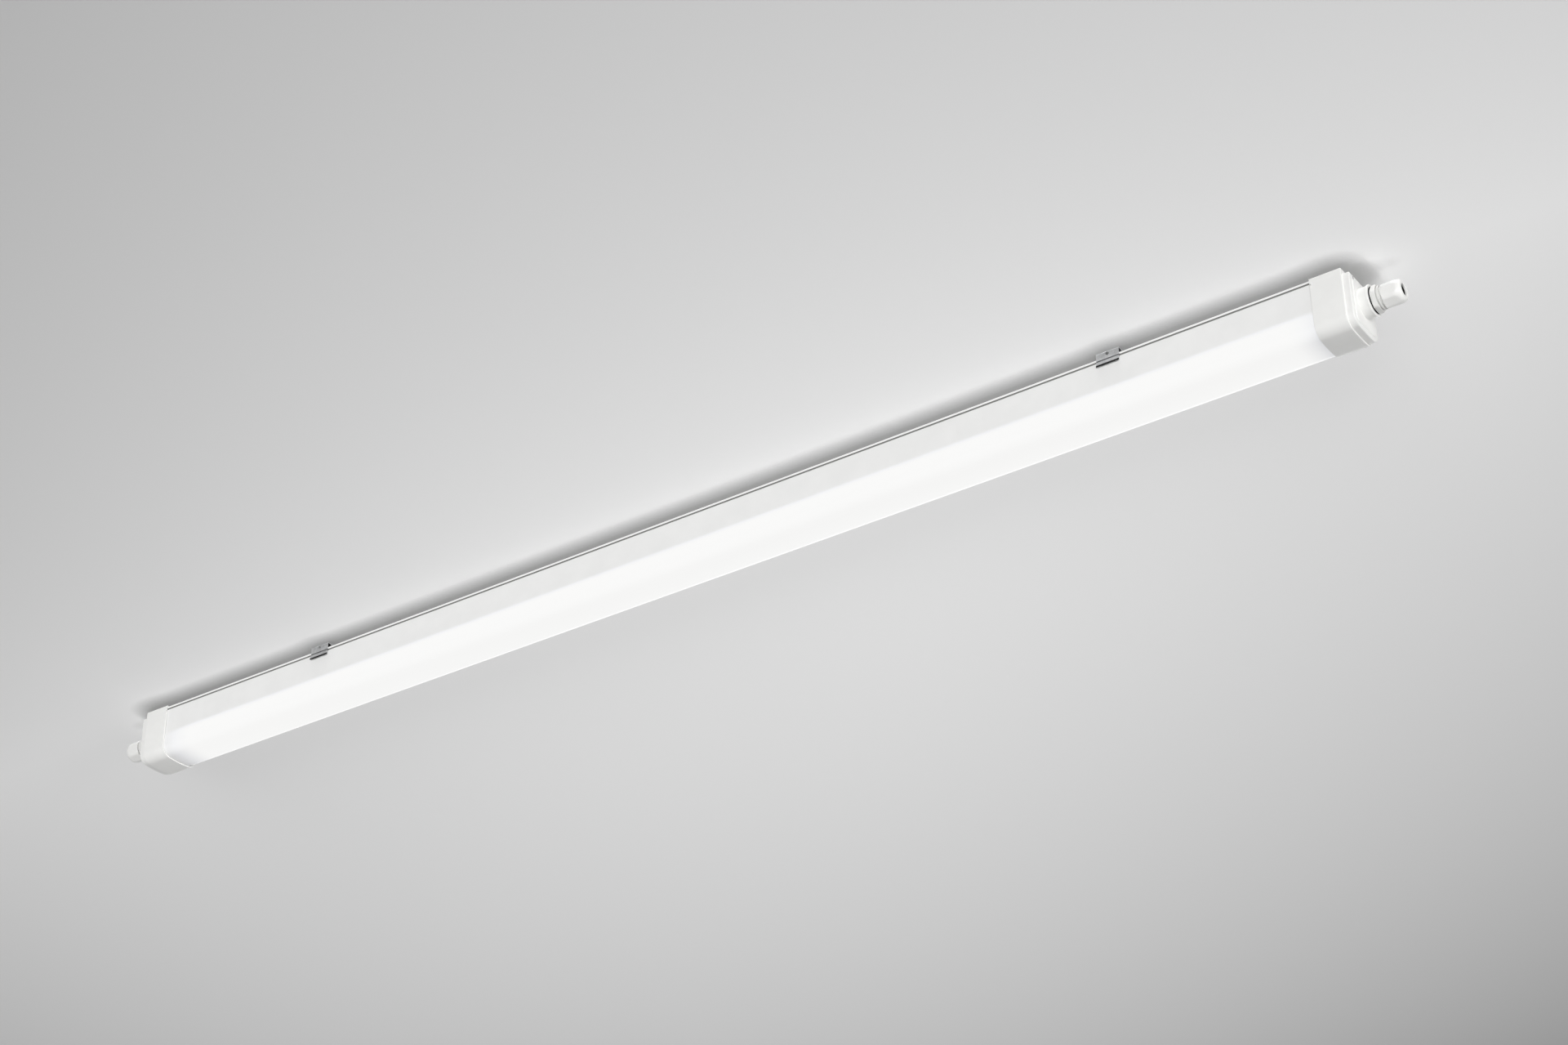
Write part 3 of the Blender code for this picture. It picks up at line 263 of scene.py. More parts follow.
class Stuff(Enum):
    """The finishes, each with the record's slot that it belongs to."""

    # Extruded polycarbonate: milky, satin, with faint lines along its run.
    OPAL = LitOpal(
        "extruded_opal_polycarbonate", "opal_polycarbonate", "F2F2F1", "EFEFEE", 0.42,
        (0.12, 0.0007, 0.0007), 0.000004, specular=0.2,
    )
    # Injection-moulded ABS: white, satin, with the fine bite of a spark-eroded mould.
    ABS = Finish("moulded_white_abs", "white_moulding", "F3F3F1", "EFEFED", 0.36, depth=0.000012)
    # Moulded nylon of the gland: a shade greyer and duller than the caps.
    NYLON = Finish(
        "moulded_gland_nylon", "light_grey_nylon", "E6E6E4", "E1E1DE", 0.42, depth=0.000015
    )
    # Cold-rolled stainless sheet: bright, with short grain along the rolling.
    STAINLESS = Finish(
        "rolled_stainless_sheet", "stainless_steel", "DCDDDE", "C6C7C8", 0.42, *ROLLED,
        patch=0.004, metallic=1.0, spread=0.08,
    )
    # The same sheet inside its hook, where the fold keeps the light out.
    FOLD = Finish(
        "stainless_inside_fold", "stainless_steel", "7A7B7C", "6C6D6E", 0.40, *ROLLED, metallic=0.8
    )
    # Painted shadow on the clip's steel: the tail's end and the end flanges, near black.
    PAINTED_SHADOW = Finish(
        "stainless_painted_shadow", "stainless_steel", "161617", "202021", 0.60,
        (0.0004,) * 3, 0.00001, metallic=0.6,
    )
    # The bottom of a deep moulded slit, which no light reaches.
    SLIT = Finish("deep_moulded_slit", "white_moulding", "242425", "2C2C2D", 0.60)
    # Zinc plating on steel: bluish grey crystals under a thin passivation.
    ZINC = Finish(
        "zinc_plated_steel", "zinc_plated_steel", "BFC3C9", "A9ADB5", 0.34,
        (0.0012,) * 3, 0.000005, patch=0.004, metallic=1.0, spread=0.10,
    )
    # Powder coat on folded steel: white, with shallow orange peel.
    POWDER = Finish(
        "white_powder_coat", "white_painted_steel", "F1F1EF", "ECECEA", 0.38,
        (0.0014,) * 3, 0.000020, coat=0.1,
    )
    # EPDM rubber: black, matt, bloomed in patches.
    RUBBER = Finish(
        "black_epdm_rubber", "black_rubber", "0E0E0F", "161617", 0.72, patch=0.006, specular=0.2
    )
    # Silicone gasket: mid grey and matt.
    SILICONE = Finish("grey_silicone", "grey_rubber", "7B7D80", "85878A", 0.62, patch=0.008)
    # White solder mask over copper: glossy, with the tracks showing as faint patches.
    MASK = Finish(
        "white_solder_mask", "white_solder_mask", "F4F4F0", "E9E9E3", 0.30,
        (0.004, 0.0012, 0.0012), 0.000015, patch=0.006,
    )
    # Green solder mask on the driver's board.
    GREEN = Finish(
        "green_solder_mask", "green_solder_mask", "1E5A33", "2A7040", 0.35,
        (0.003, 0.0008, 0.0008), patch=0.004,
    )
    # Phosphor in clear silicone: the yellow windows of the lamps.
    PHOSPHOR = Finish(
        "phosphor_window", "white_solder_mask", "F2D46A", "EBC950", 0.30,
        (0.0002,) * 3, 0.00001, patch=0.001,
    )
    # White moulded connector plastic.
    PBT = Finish("moulded_connector_pbt", "white_moulding", "EDEDE9", "E6E6E1", 0.44, depth=0.00001)
    # Grey moulded push buttons.
    BUTTON = Finish(
        "moulded_grey_buttons", "light_grey_nylon", "A9ABAA", "9FA1A0", 0.45, depth=0.00001
    )
    # Extruded PVC insulation, in the colours of the cores.
    BROWN = Finish("brown_pvc_insulation", "brown_insulation", "6B3F22", "5F371D", 0.40, *DRAWN)
    BLUE = Finish("blue_pvc_insulation", "blue_insulation", "2A63A8", "24579A", 0.40, *DRAWN)
    EARTH = Finish(
        "green_pvc_insulation", "green_insulation", "3F9440", "C9C23A", 0.40,
        patch=0.008, depth=0.000005,
    )
    RED = Finish("red_pvc_insulation", "red_insulation", "B32A24", "A5231E", 0.40, *DRAWN)
    BLACK = Finish("black_pvc_insulation", "black_insulation", "202021", "2A2A2B", 0.42, *DRAWN)


SHELF: dict[Stuff, Material] = {}


def material(stuff: Stuff) -> Material:
    """Gives the finish's material, made the first time that it is asked for."""
    if stuff not in SHELF:
        SHELF[stuff] = stuff.value.build()
    return SHELF[stuff]


# Surfaces worked out as arrays


def filleted(points: Array, radii: Array | float, steps: int = 5) -> Array:
    """Rounds the corners of a closed path, in any number of dimensions.

    At a corner with unit directions u and v to its neighbours and half angle h between them, the
    arc's centre lies along u + v at radius / sin(h), and it meets the sides at radius / tan(h).
    Points on the arc turn evenly from the first tangent point to the second. A side gives each
    of its two corners at most 0.45 of its length.

    Args:
        points: the corners, one row each.
        radii: one radius, or one for each corner; zero keeps the corner as it is.
        steps: points on each arc.

    Returns:
        The rounded path.
    """
    points = np.asarray(points, float)
    radii = np.broadcast_to(np.asarray(radii, float), len(points))
    before, after = np.roll(points, 1, 0) - points, np.roll(points, -1, 0) - points
    reach = np.minimum(np.linalg.norm(before, axis=1), np.linalg.norm(after, axis=1)) * 0.45
    u = before / np.linalg.norm(before, axis=1, keepdims=True)
    v = after / np.linalg.norm(after, axis=1, keepdims=True)
    half = np.arccos(np.clip((u * v).sum(1), -1, 1)) / 2
    tangent = np.minimum(radii / np.tan(half), reach)
    radius = tangent * np.tan(half)
    bisector = u + v
    length = np.linalg.norm(bisector, axis=1, keepdims=True)
    bisector = bisector / np.maximum(length, 1e-9)
    centre = (points + bisector * (radius / np.sin(half))[:, None])[:, None]
    first = (points + u * tangent[:, None])[:, None] - centre
    last = (points + v * tangent[:, None])[:, None] - centre
    turn = (math.pi - 2 * half)[:, None, None]
    share = np.linspace(0, 1, steps)[None, :, None]
    arc = np.sin((1 - share) * turn) * first + np.sin(share * turn) * last
    arc = arc / np.maximum(np.sin(turn), 1e-6) + centre
    plain = (radii <= 0) | (length[:, 0] < 1e-4)
    rows = [point[None] if flat else bend for point, flat, bend in zip(points, plain, arc)]
    return np.concatenate(rows)


def grid_faces(rows: int, columns: int, wrap_rows: bool, wrap_columns: bool) -> Array:
    """Quads between neighbours of a grid, each as four indices into its points in row order.

    Args:
        rows: rows of the grid.
        columns: columns of the grid.
        wrap_rows: the last row joins the first.
        wrap_columns: the last column joins the first.

    Returns:
        One row for each quad.
    """
    i, j = np.meshgrid(
        np.arange(rows if wrap_rows else rows - 1),
        np.arange(columns if wrap_columns else columns - 1),
        indexing="ij",
    )
    k, m = (i + 1) % rows, (j + 1) % columns
    corners = [i * columns + j, k * columns + j, k * columns + m, i * columns + m]
    return np.stack(corners, -1).reshape(-1, 4)


def signed_volume(points: Array, faces: list[Array]) -> float:
    """A sixth of the sum of a . (b x c) over the faces' fan triangles: negative if inside out."""
    total = 0.0
    for some in faces:
        for k in range(1, some.shape[1] - 1):
            a, b, c = points[some[:, 0]], points[some[:, k]], points[some[:, k + 1]]
            total += float(np.einsum("ij,ij->", a, np.cross(b, c)))
    return total / 6


class Shell:
    """Closed bodies gathered into one mesh, each turned so that its faces point outwards."""

    def __init__(self) -> None:
        """Starts empty."""
        self.points: list[Array] = []
        self.faces: list[list[int]] = []
        self.kinds: list[int] = []
        self.count = 0

    def add(self, points: Array, faces: list[Array], kind: int = 0) -> Shell:
        """Adds one closed body.

        Args:
            points: its points, one row each.
            faces: arrays of indices into them, each of faces with as many corners.
            kind: which of the piece's finishes it has.

        Returns:
            This shell.
        """
        if signed_volume(points, faces) < 0:
            faces = [some[:, ::-1] for some in faces]
        for some in faces:
            self.faces += (some + self.count).tolist()
            self.kinds += [kind] * len(some)
        self.points.append(points)
        self.count += len(points)
        return self

    def ring(self, grid: Array) -> Shell:
        """Adds a surface closed both ways, from a grid of points that wraps on both sides."""
        return self.add(grid.reshape(-1, 3), [grid_faces(*grid.shape[:2], True, True)])

    def capped(self, grid: Array, kind: int = 0) -> Shell:
        """Adds a surface that wraps along its columns, with a fan over its first and last rows."""
        rows, columns = grid.shape[:2]
        points = np.concatenate([grid.reshape(-1, 3), grid[:1].mean(1), grid[-1:].mean(1)])
        here = np.arange(columns)
        ahead = (here + 1) % columns
        tips, top = np.full(columns, rows * columns), (rows - 1) * columns
        fans = [np.stack([here, ahead, tips], 1), np.stack([top + ahead, top + here, tips + 1], 1)]
        return self.add(points, [grid_faces(rows, columns, False, True), *fans], kind)

    def prism(
        self, outlines: list[Array], stations: list[float], upright: bool = False
    ) -> Shell:
        """Runs flat outlines of (y, z) points along X and closes both ends.

        Args:
            outlines: the outer outline, then any holes in it.
            stations: where along X each copy of them stands.
            upright: the outlines are (x, y) points instead, and run along Z.

        Returns:
            This shell.
        """
        points, faces, starts = [], [], []
        count, rows = 0, len(stations)
        for number, outline in enumerate(outlines):
            y, z = outline.T
            area = float(np.dot(y, np.roll(z, -1)) - np.dot(z, np.roll(y, -1)))
            if (area > 0) == (number > 0):
                outline = outline[::-1]
            size = len(outline)
            x = np.repeat(np.array(stations), size)
            points.append(np.column_stack([x, np.tile(outline, (rows, 1))]))
            faces.append(grid_faces(rows, size, False, True)[:, ::-1] + count)
            starts.append(np.arange(size) + count)
            count += rows * size
        flat, near = np.concatenate(points), np.concatenate(starts)
        sheets = [[Vector((p[1], p[2], 0)) for p in flat[start]] for start in starts]
        fill = np.array(tessellate_polygon(sheets))
        a, b, c = (flat[near[fill[:, k]]][:, 1:] for k in range(3))
        turn = (b - a)[:, 0] * (c - a)[:, 1] - (b - a)[:, 1] * (c - a)[:, 0]
        fill[turn < 0] = fill[turn < 0][:, ::-1]
        sizes = np.concatenate([np.full(len(start), len(start)) for start in starts])
        far = near + (rows - 1) * sizes
        faces += [near[fill][:, ::-1], far[fill]]
        return self.add(np.roll(flat, -1, 1) if upright else flat, faces)

    def block(
        self, low: Array, high: Array, radius: float, steps: int = 3, kind: int = 0
    ) -> Shell:
        """Adds a box with round edges, between its lowest and its highest corner."""
        return self.capped(brick(np.asarray(low), np.asarray(high), radius, steps), kind)

    def rod(self, start: Any, end: Any, radius: float, sides: int = 24) -> Shell:
        """Adds a round rod between two points."""
        return self.capped(rod_grid(np.array(start), np.array(end), radius, sides))

    def piece(self, name: str, *stuffs: Stuff) -> Piece:
        """Makes the mesh object, smooth but for its sharp edges.

        Args:
            name: the piece's name.
            *stuffs: its finishes, in the order of the kinds of its faces.

        Returns:
            The object, at the origin.
        """
        mesh = bpy.data.meshes.new(name)
        mesh.from_pydata(np.concatenate(self.points).tolist(), [], self.faces)
        for stuff in stuffs:
            mesh.materials.append(material(stuff))
        mesh.polygons.foreach_set("material_index", self.kinds)
        work = bmesh.new()
        work.from_mesh(mesh)
        bmesh.ops.remove_doubles(work, verts=work.verts, dist=MERGE)
        work.to_mesh(mesh)
        work.free()
        made = bpy.data.objects.new(name, mesh)
        bpy.context.scene.collection.objects.link(made)
        soften(made)
        return made

    def mount(
        self, name: str, body: str, stuffs: tuple[Stuff, ...], *nodes: str, tools: Any = ()
    ) -> Piece:
        """Makes the piece, has it ride on its body, and hides the CAD nodes that it stands for.

        Args:
            name: the piece's name.
            body: the CAD body that carries it.
            stuffs: its finishes, in the order of the kinds of its faces.
            *nodes: the CAD nodes that it stands for.
            tools: what is cut out of it, one after the other.

        Returns:
            The object.
        """
        made = self.piece(name, *stuffs)
        for tool in tools:
            cut(made, tool)
        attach(made, body)
        if nodes:
            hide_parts(*nodes)
        return made


def soften(piece: Piece) -> None:
    """Shades a mesh smooth, with its sharp edges kept."""
    piece.data.shade_smooth()
    piece.data.set_sharp_from_angle(angle=SHARP)


def cut(piece: Piece, cutters: Shell) -> None:
    """Takes the cutters' bodies out of a piece, as applied geometry."""
    tool = cutters.piece(piece.name + "_cutter")
    boolean = piece.modifiers.new("cut", "BOOLEAN")
    boolean.operation = "DIFFERENCE"
    boolean.object = tool
    bpy.context.view_layer.update()
    ready = piece.evaluated_get(bpy.context.evaluated_depsgraph_get())
    mesh = bpy.data.meshes.new_from_object(ready)
    piece.modifiers.clear()
    old = piece.data
    piece.data = mesh
    bpy.data.meshes.remove(old)
    bpy.data.objects.remove(tool, do_unlink=True)
    mesh.name = piece.name
    soften(piece)


def repaint(piece: Piece, kind: int, inside: Callable[[Array], Array]) -> None:
    """Gives the faces whose middles pass a test another of the piece's finishes.

    Args:
        piece: the piece.
        kind: the finish's number on the piece.
        inside: takes the middles, one row each, and says which faces change.
    """
    faces = piece.data.polygons
    middles, kinds = np.empty(3 * len(faces)), np.empty(len(faces), int)
    faces.foreach_get("center", middles)
    faces.foreach_get("material_index", kinds)
    kinds[inside(middles.reshape(-1, 3))] = kind
    faces.foreach_set("material_index", kinds)


def around(steps: int) -> Array:
    """The angles of even steps round a full turn, as a column."""
    return np.linspace(0, 2 * math.pi, steps, endpoint=False)[:, None]


def rod_grid(start: Array, end: Array, radius: float, sides: int) -> Array:
    """Two rings of points about a straight axis: centre + radius (n cos t + b sin t)."""
    run = (end - start) / np.linalg.norm(end - start)
    other = np.array([0.0, 0.0, 1.0]) if abs(run[2]) < 0.9 else np.array([0.0, 1.0, 0.0])
    n = np.cross(run, other)
    n = n / np.linalg.norm(n)
    b = np.cross(run, n)
    t = around(sides)
    ring = radius * (np.cos(t) * n + np.sin(t) * b)
    return np.stack([start + ring, end + ring])


def brick(low: Array, high: Array, radius: float, steps: int) -> Array:
    """A box with round edges, as a grid of rings along X whose ends a fan closes.

    Each ring is the box's (y, z) rectangle with filleted corners. Near both ends the ring draws
    in by radius (1 - cos t) while X runs on by radius sin t, with t a quarter turn.

    Args:
        low: the lowest corner.
        high: the highest corner.
        radius: the edges' radius.
        steps: rings in each end's rounding.

    Returns:
        The grid.
    """
    middle, half = (low[1:] + high[1:]) / 2, (high[1:] - low[1:]) / 2
    turn = np.linspace(0, math.pi / 2, steps + 1)
    rise, fall = radius * (1 - np.sin(turn)), radius * (1 - np.cos(turn))
    inset, x = np.concatenate([rise, fall]), np.concatenate([low[0] + fall, high[0] - rise])
    corner = filleted(half * [[1, 1], [-1, 1], [-1, -1], [1, -1]], radius, steps + 2)
    scale = (half - inset[:, None]) / half
    rings = middle + corner[None] * scale[:, None]
    return np.concatenate([np.broadcast_to(x[:, None, None], (*rings.shape[:2], 1)), rings], 2)


def box_of(middle: Triple, size: Triple) -> Array:
    """The lowest and highest corners of a box about a point."""
    return np.array(middle) + np.array([[-0.5], [0.5]]) * np.array(size)


def circle(middle: Pair, radius: float) -> Array:
    """A round hole's outline: middle + radius (cos t, sin t)."""
    t = around(24)
    return np.array(middle) + radius * np.hstack([np.cos(t), np.sin(t)])


def rounded_slab(low: Pair, high: Pair, radius: float) -> Array:
    """A rectangle's outline with round corners."""
    return filleted([low, (high[0], low[1]), high, (low[0], high[1])], radius, 6)


def turned(profile: Array, height: float, steps: int = 64) -> Array:
    """Turns (x, radius) points about the X axis at a height: (x, r sin t, height + r cos t).

    Args:
        profile: the closed profile.
        height: the axis's height.
        steps: copies round the axis.

    Returns:
        A grid with a row for each step.
    """
    t, (x, r) = around(steps), profile.T
    grid = [np.broadcast_to(x, (steps, len(x))), r * np.sin(t), height + r * np.cos(t)]
    return np.stack(grid, -1)


def lathed(
    profile: Array, steps: int, rule: Callable[..., Array], twist: float = 0.0
) -> Array:
    """Turns a profile about the X axis and then changes each point's radius.

    Args:
        profile: the closed profile of (x, radius) points.
        steps: copies round the axis.
        rule: takes the points' x, radius and angle, and gives their new radius.
        twist: how far the finished shape is turned about the axis.

    Returns:
        A grid with a row for each step.
    """
    grid = turned(profile, 0.0, steps)
    angle = np.arctan2(grid[..., 1], grid[..., 2])
    radius = rule(grid[..., 0], np.hypot(grid[..., 1], grid[..., 2]), angle)
    angle = angle + twist
    return np.stack([grid[..., 0], radius * np.sin(angle), radius * np.cos(angle)], -1)


def thread(x: Array, angle: Array, pitch: float) -> Array:
    """How deep a thread's helix is, from 0 to 1: (1 + cos(2 pi x / pitch - angle)) / 2."""
    return (1 + np.cos(2 * math.pi * x / pitch - angle)) / 2


def soft_least(a: Array, b: Array, blend: float) -> Array:
    """The lesser of two radii with a round edge between: m - blend (1 - |a - b| / blend)^2 / 4."""
    near = np.clip(1 - np.abs(a - b) / blend, 0, 1)
    return np.minimum(a, b) - blend * near**2 / 4


def hexagonal(angle: Array, across: float) -> Array:
    """The radius of a hexagon at an angle: half its width across flats over the cosine."""
    sixth = math.pi / 3
    off = np.mod(angle + sixth / 2, sixth) - sixth / 2
    return across / 2 / np.cos(off)


# The fixture's pieces


BOARD_PLACES = mm(-576, -294, -12, 270, 552)
DRIVER_SCREW_PLACES = mm(244, 536)
EARTH_PLACE = mm(606, 9.75)
POST_Y, POST_Z = mm(13.0, -21.5)
GLAND_Z = -32.7 * MM


@dataclass(frozen=True)
class Section:
    """The tube's cross-section in (y, z), which its end caps and gaskets follow."""

    half: float = 24.65 * MM
    lip_top: float = -5.5 * MM
    lip_width: float = 2.6 * MM
    lip_height: float = 2.0 * MM
    bottom: float = -64.7 * MM
    wall: float = 2.0 * MM
    corner: float = 11.5 * MM
    crown: float = 150.0 * MM
    groove_drop: float = 3.1 * MM
    groove_height: float = 2.1 * MM
    groove_depth: float = 1.25 * MM
    rail_top: float = -11.3 * MM
    rail_depth: float = 2.2 * MM
    rail_thickness: float = 1.2 * MM
    corner_steps: int = 14
    crown_steps: int = 12

    def belly(self, grow: float) -> Array:
        """The lower half outline: a corner arc that meets a wide crown arc, moved out by grow.

        Both arcs grow about their own centres, so the wall stays even. A point at angle t is its
        centre plus radius (cos t, -sin t) on the corner and radius (sin t, -cos t) on the crown.
        """
        corner_y = self.half - self.corner
        between = self.crown - self.corner
        crown_z = self.bottom + self.crown
        corner_z = crown_z - math.sqrt(between**2 - corner_y**2)
        meet = math.asin(corner_y / between)
        t = np.linspace(0, math.pi / 2 - meet, self.corner_steps)
        s = np.linspace(meet, 0, self.crown_steps + 1)[1:]
        small, wide = self.corner + grow, self.crown + grow
        bend = np.column_stack([corner_y + small * np.cos(t), corner_z - small * np.sin(t)])
        floor = np.column_stack([wide * np.sin(s), crown_z - wide * np.cos(s)])
        return np.concatenate([bend, floor])

    def rounded(self, upper: list[Pair], grow: float, radii: Any) -> Array:
        """Mirrors the upper half outline and the belly to a closed outline.

        Args:
            upper: the (y, z) corners above the belly on the +Y side, from the top down.
            grow: how far the belly moves out.
            radii: the fillet radius of each upper corner.

        Returns:
            The closed outline.
        """
        side = np.concatenate([upper, self.belly(grow)])
        outline = np.concatenate([side, side[-2::-1] * (-1, 1)])
        all_radii = np.zeros(len(outline))
        all_radii[: len(upper)] = radii
        all_radii[-len(upper) :] = all_radii[: len(upper)][::-1]
        return filleted(outline, all_radii, 4)

    @property
    def web(self) -> float:
        """The height of the tube's top between its lips."""
        return self.lip_top - self.lip_height

    @property
    def roof(self) -> float:
        """The height of the tube's inner top."""
        return self.web - self.wall

    @property
    def groove(self) -> float:
        """The height of the middle of the clips' groove."""
        return self.lip_top - self.groove_drop


@dataclass
class OpalTube:
    """The extruded diffuser: two lips, two grooves for the clips, and rails for the tray."""

    section: Section
    start: float = -746.0 * MM
    end: float = 722.0 * MM
    edge: float = 0.30 * MM

    def outer(self) -> Array:
        """The outer outline, with rounded lips and grooves."""
        s = self.section
        z = s.groove
        reach, slope = s.groove_height / 2, s.groove_height / 4
        floor = s.half - s.groove_depth
        upper = [(s.half - s.lip_width, s.web), (s.half - s.lip_width, s.lip_top)]
        upper += [(s.half, s.lip_top), (s.half, z + reach), (floor, z + reach - slope)]
        upper += [(floor, z - reach + slope), (s.half, z - reach)]
        radii = np.array([0.8, 1.5, 1.5, 0.8, 0.8, 0.8, 1.2]) * self.edge
        return s.rounded(upper, 0.0, radii)

    def inner(self) -> Array:
        """The bore's outline, with the rails that the tray hangs on."""
        s = self.section
        half = s.half - s.wall
        tip, under = half - s.rail_depth, s.rail_top - s.rail_thickness
        upper = [(half, s.roof), (half, s.rail_top), (tip, s.rail_top), (tip, under), (half, under)]
        return s.rounded(upper, -s.wall, self.edge)

    def build(self) -> None:
        """Makes the tube."""
        shell = Shell().prism([self.outer(), self.inner()], [self.start, self.end])
        shell.mount("tube_extrusion", "housing", (Stuff.OPAL,), "opal_tube")


@dataclass(frozen=True)
class End:
    """One end of the fixture: where its collar starts, which way is out, and what carries it."""

    side: str
    start: float
    way: int
    body: str

    def place(self, points: Array) -> Array:
        """Turns points of the end's own frame about Z to the fixture's frame, and moves them."""
        return points * (self.way, self.way, 1.0) + (self.start, 0.0, 0.0)


@dataclass
class EndCap:
    """Collar, stepped end plate with its plateau, gland boss and screw posts."""

    section: Section
    end: End
    length: float = 31.2 * MM
    grip: float = 24.6 * MM
    grow: float = 1.9 * MM
    fit: float = 0.4 * MM
    top: float = -4.5 * MM
    plate: float = 38.0 * MM
    plate_back: float = 35.0 * MM
    plate_grow: float = 0.4 * MM
    plate_top: float = -10.7 * MM
    plateau_inset: float = 5.0 * MM
    plateau_rise: float = 0.7 * MM
    hollow_grow: float = -2.2 * MM
    hollow_top: float = -13.3 * MM
    throat: float = 2.0 * MM
    hole: float = 12.0 * MM
    boss: float = 14.8 * MM
    boss_rim: float = 15.5 * MM
    boss_rim_length: float = 1.6 * MM
    boss_end: float = 48.5 * MM
    bore: float = 10.0 * MM
    slit_width: float = 1.2 * MM
    slit_depth: float = 5.5 * MM
    slit_reach: float = 2.6 * MM
    slit_y: float = 16.5 * MM
    notch: float = 1.6 * MM
    notch_z: float = -11.6 * MM
    post: float = 3.75 * MM
    pilot: float = 1.9 * MM
    post_start: float = 9.8 * MM
    pilot_end: float = 21.8 * MM
    shoulder: float = 1.2 * MM
    slack: float = 0.1 * MM
    wall_steps: int = 8

    def outline(self, grow: float, top: float, dip: float) -> Array:
        """One ring of the cap: the tube's outline moved out by grow, under its own top.

        Args:
            grow: how far it stands out from the tube.
            top: the height of its two upper corners.
            dip: the height of its top between the tube's lips.

        Returns:
            The closed outline, always with the same number of points.
        """
        s = self.section
        edge = s.half + grow
        lip = min(s.half - s.lip_width - grow, edge - self.grow)
        upper = [(0.0, dip), (lip - self.fit, dip), (lip, top), (edge, top)]
        upper += [(edge, z) for z in np.linspace(top, s.belly(0.0)[0, 1], self.wall_steps)[1:-1]]
        side = np.concatenate([upper, s.belly(grow)])
        outline = np.concatenate([side, side[-2:0:-1] * (-1, 1)])
        radii = np.zeros(len(outline))
        radii[[3, -3]] = self.shoulder if top == dip else self.fit
        return filleted(outline, radii, 5)

    def profile(self) -> Array:
        """The closed path of (x, grow, top, dip) round the cap's wall, with its edges rounded."""
        foot, raised = self.plate_grow - self.plateau_inset, self.plate_top - self.plateau_inset
        face = self.plate + self.plateau_rise
        corners = [
            (0.0, self.grow, self.top),
            (self.length, self.grow, self.top),
            (self.length, self.plate_grow, self.plate_top),
            (self.plate, self.plate_grow, self.plate_top),
            (self.plate, foot, raised),
            (face, foot - self.fit, raised - self.fit),
            (face, foot - self.throat, raised - self.throat),
            (self.plate_back, foot - self.throat, raised - self.throat),
            (self.plate_back, self.hollow_grow, self.hollow_top),
            (self.grip, self.hollow_grow, self.hollow_top),
            (self.grip, self.fit, self.section.lip_top + self.fit),
            (0.0, self.fit, self.section.lip_top + self.fit),
        ]
        dips = [top for _, _, top in corners[:-2]] + [self.section.web + self.fit] * 2
        radii = mm(0.35, 1.3, 0.7, 1.1, 0.4, 0.4, 0, 0, 0.5, 0.4, 0.3, 0.35)
        return filleted(np.column_stack([corners, dips]), radii, 5)

    def build(self) -> None:
        """Makes the cap with its slits and notches, then its boss and its posts."""
        rings = []
        for x, grow, top, dip in self.profile():
            ring = self.outline(grow, top, dip)
            if grow < self.plate_grow - self.plateau_inset - self.fit - self.throat / 2:
                arm = ring - (0.0, GLAND_Z)
                ring = arm / np.linalg.norm(arm, axis=1, keepdims=True) * self.hole
                ring = ring + (0.0, GLAND_Z)
            rings.append(np.column_stack([np.full(len(ring), x), ring]))
        slit = (self.plate, self.slit_y, self.plate_top)
        slit_reach = (self.slit_reach, self.slit_width / 2, self.slit_depth)
        notch = (0.0, self.section.half + self.grow, self.notch_z)
        notch_reach = (self.notch, self.grow, self.notch / 2)
        tools = Shell()
        for way in (-1, 1):
            for middle, reach, radius in (
                (slit, slit_reach, self.slit_width / 4),
                (notch, notch_reach, self.notch / 6),
            ):
                here = np.array(middle) * (1, way, 1)
                tools.capped(self.end.place(brick(here - reach, here + reach, radius, 3)))
        shell = Shell().ring(self.end.place(np.stack(rings)))
        name, node = f"cap_moulding_{self.end.side}", f"end_cap_{self.end.side}"
        made = shell.mount(name, self.end.body, (Stuff.ABS, Stuff.SLIT), node, tools=(tools,))
        repaint(made, 1, self.in_slit)
        self.build_boss()

    def in_slit(self, middles: Array) -> Array:
        """Says which points lie in one of the end plate's two slits, under its face."""
        x = (middles[:, 0] - self.end.start) * self.end.way
        off = np.abs(np.abs(middles[:, 1]) - self.slit_y)
        deep = (x > self.plate_back) & (x < self.plate - 3 * self.slack)
        low = self.plate_top - self.slit_depth - self.slack
        return deep & (off < self.slit_width / 2 + self.slack) & (middles[:, 2] > low)

    def build_boss(self) -> None:
        """Makes the gland's boss, a turned ring, and the hollow screw posts."""
        back, end = self.plate_back, self.boss_end
        rim, foot = end - self.boss_rim_length, self.plate_back + MM
        wall = [(back, self.bore), (back, self.boss), (rim, self.boss), (rim, self.boss_rim)]
        wall += [(end, self.boss_rim), (end, self.bore)]
        wall = filleted(wall, mm(0, 0, 0.4, 0.4, 0.5, 0.4), 4)
        shell = Shell().ring(self.end.place(turned(wall, GLAND_Z)))
        wall = [(self.post_start, self.pilot), (self.post_start, self.post), (foot, self.post)]
        wall += [(foot, 0.0), (self.pilot_end, 0.0), (self.pilot_end, self.pilot)]
        post = turned(filleted(wall, mm(0.3, 0.3, 0, 0, 0, 0), 3), POST_Z, 24)
        for y in (-POST_Y, POST_Y):
            shell.ring(self.end.place(post + (0.0, y, 0.0)))
        shell.mount(f"gland_boss_{self.end.side}", self.end.body, (Stuff.ABS,))


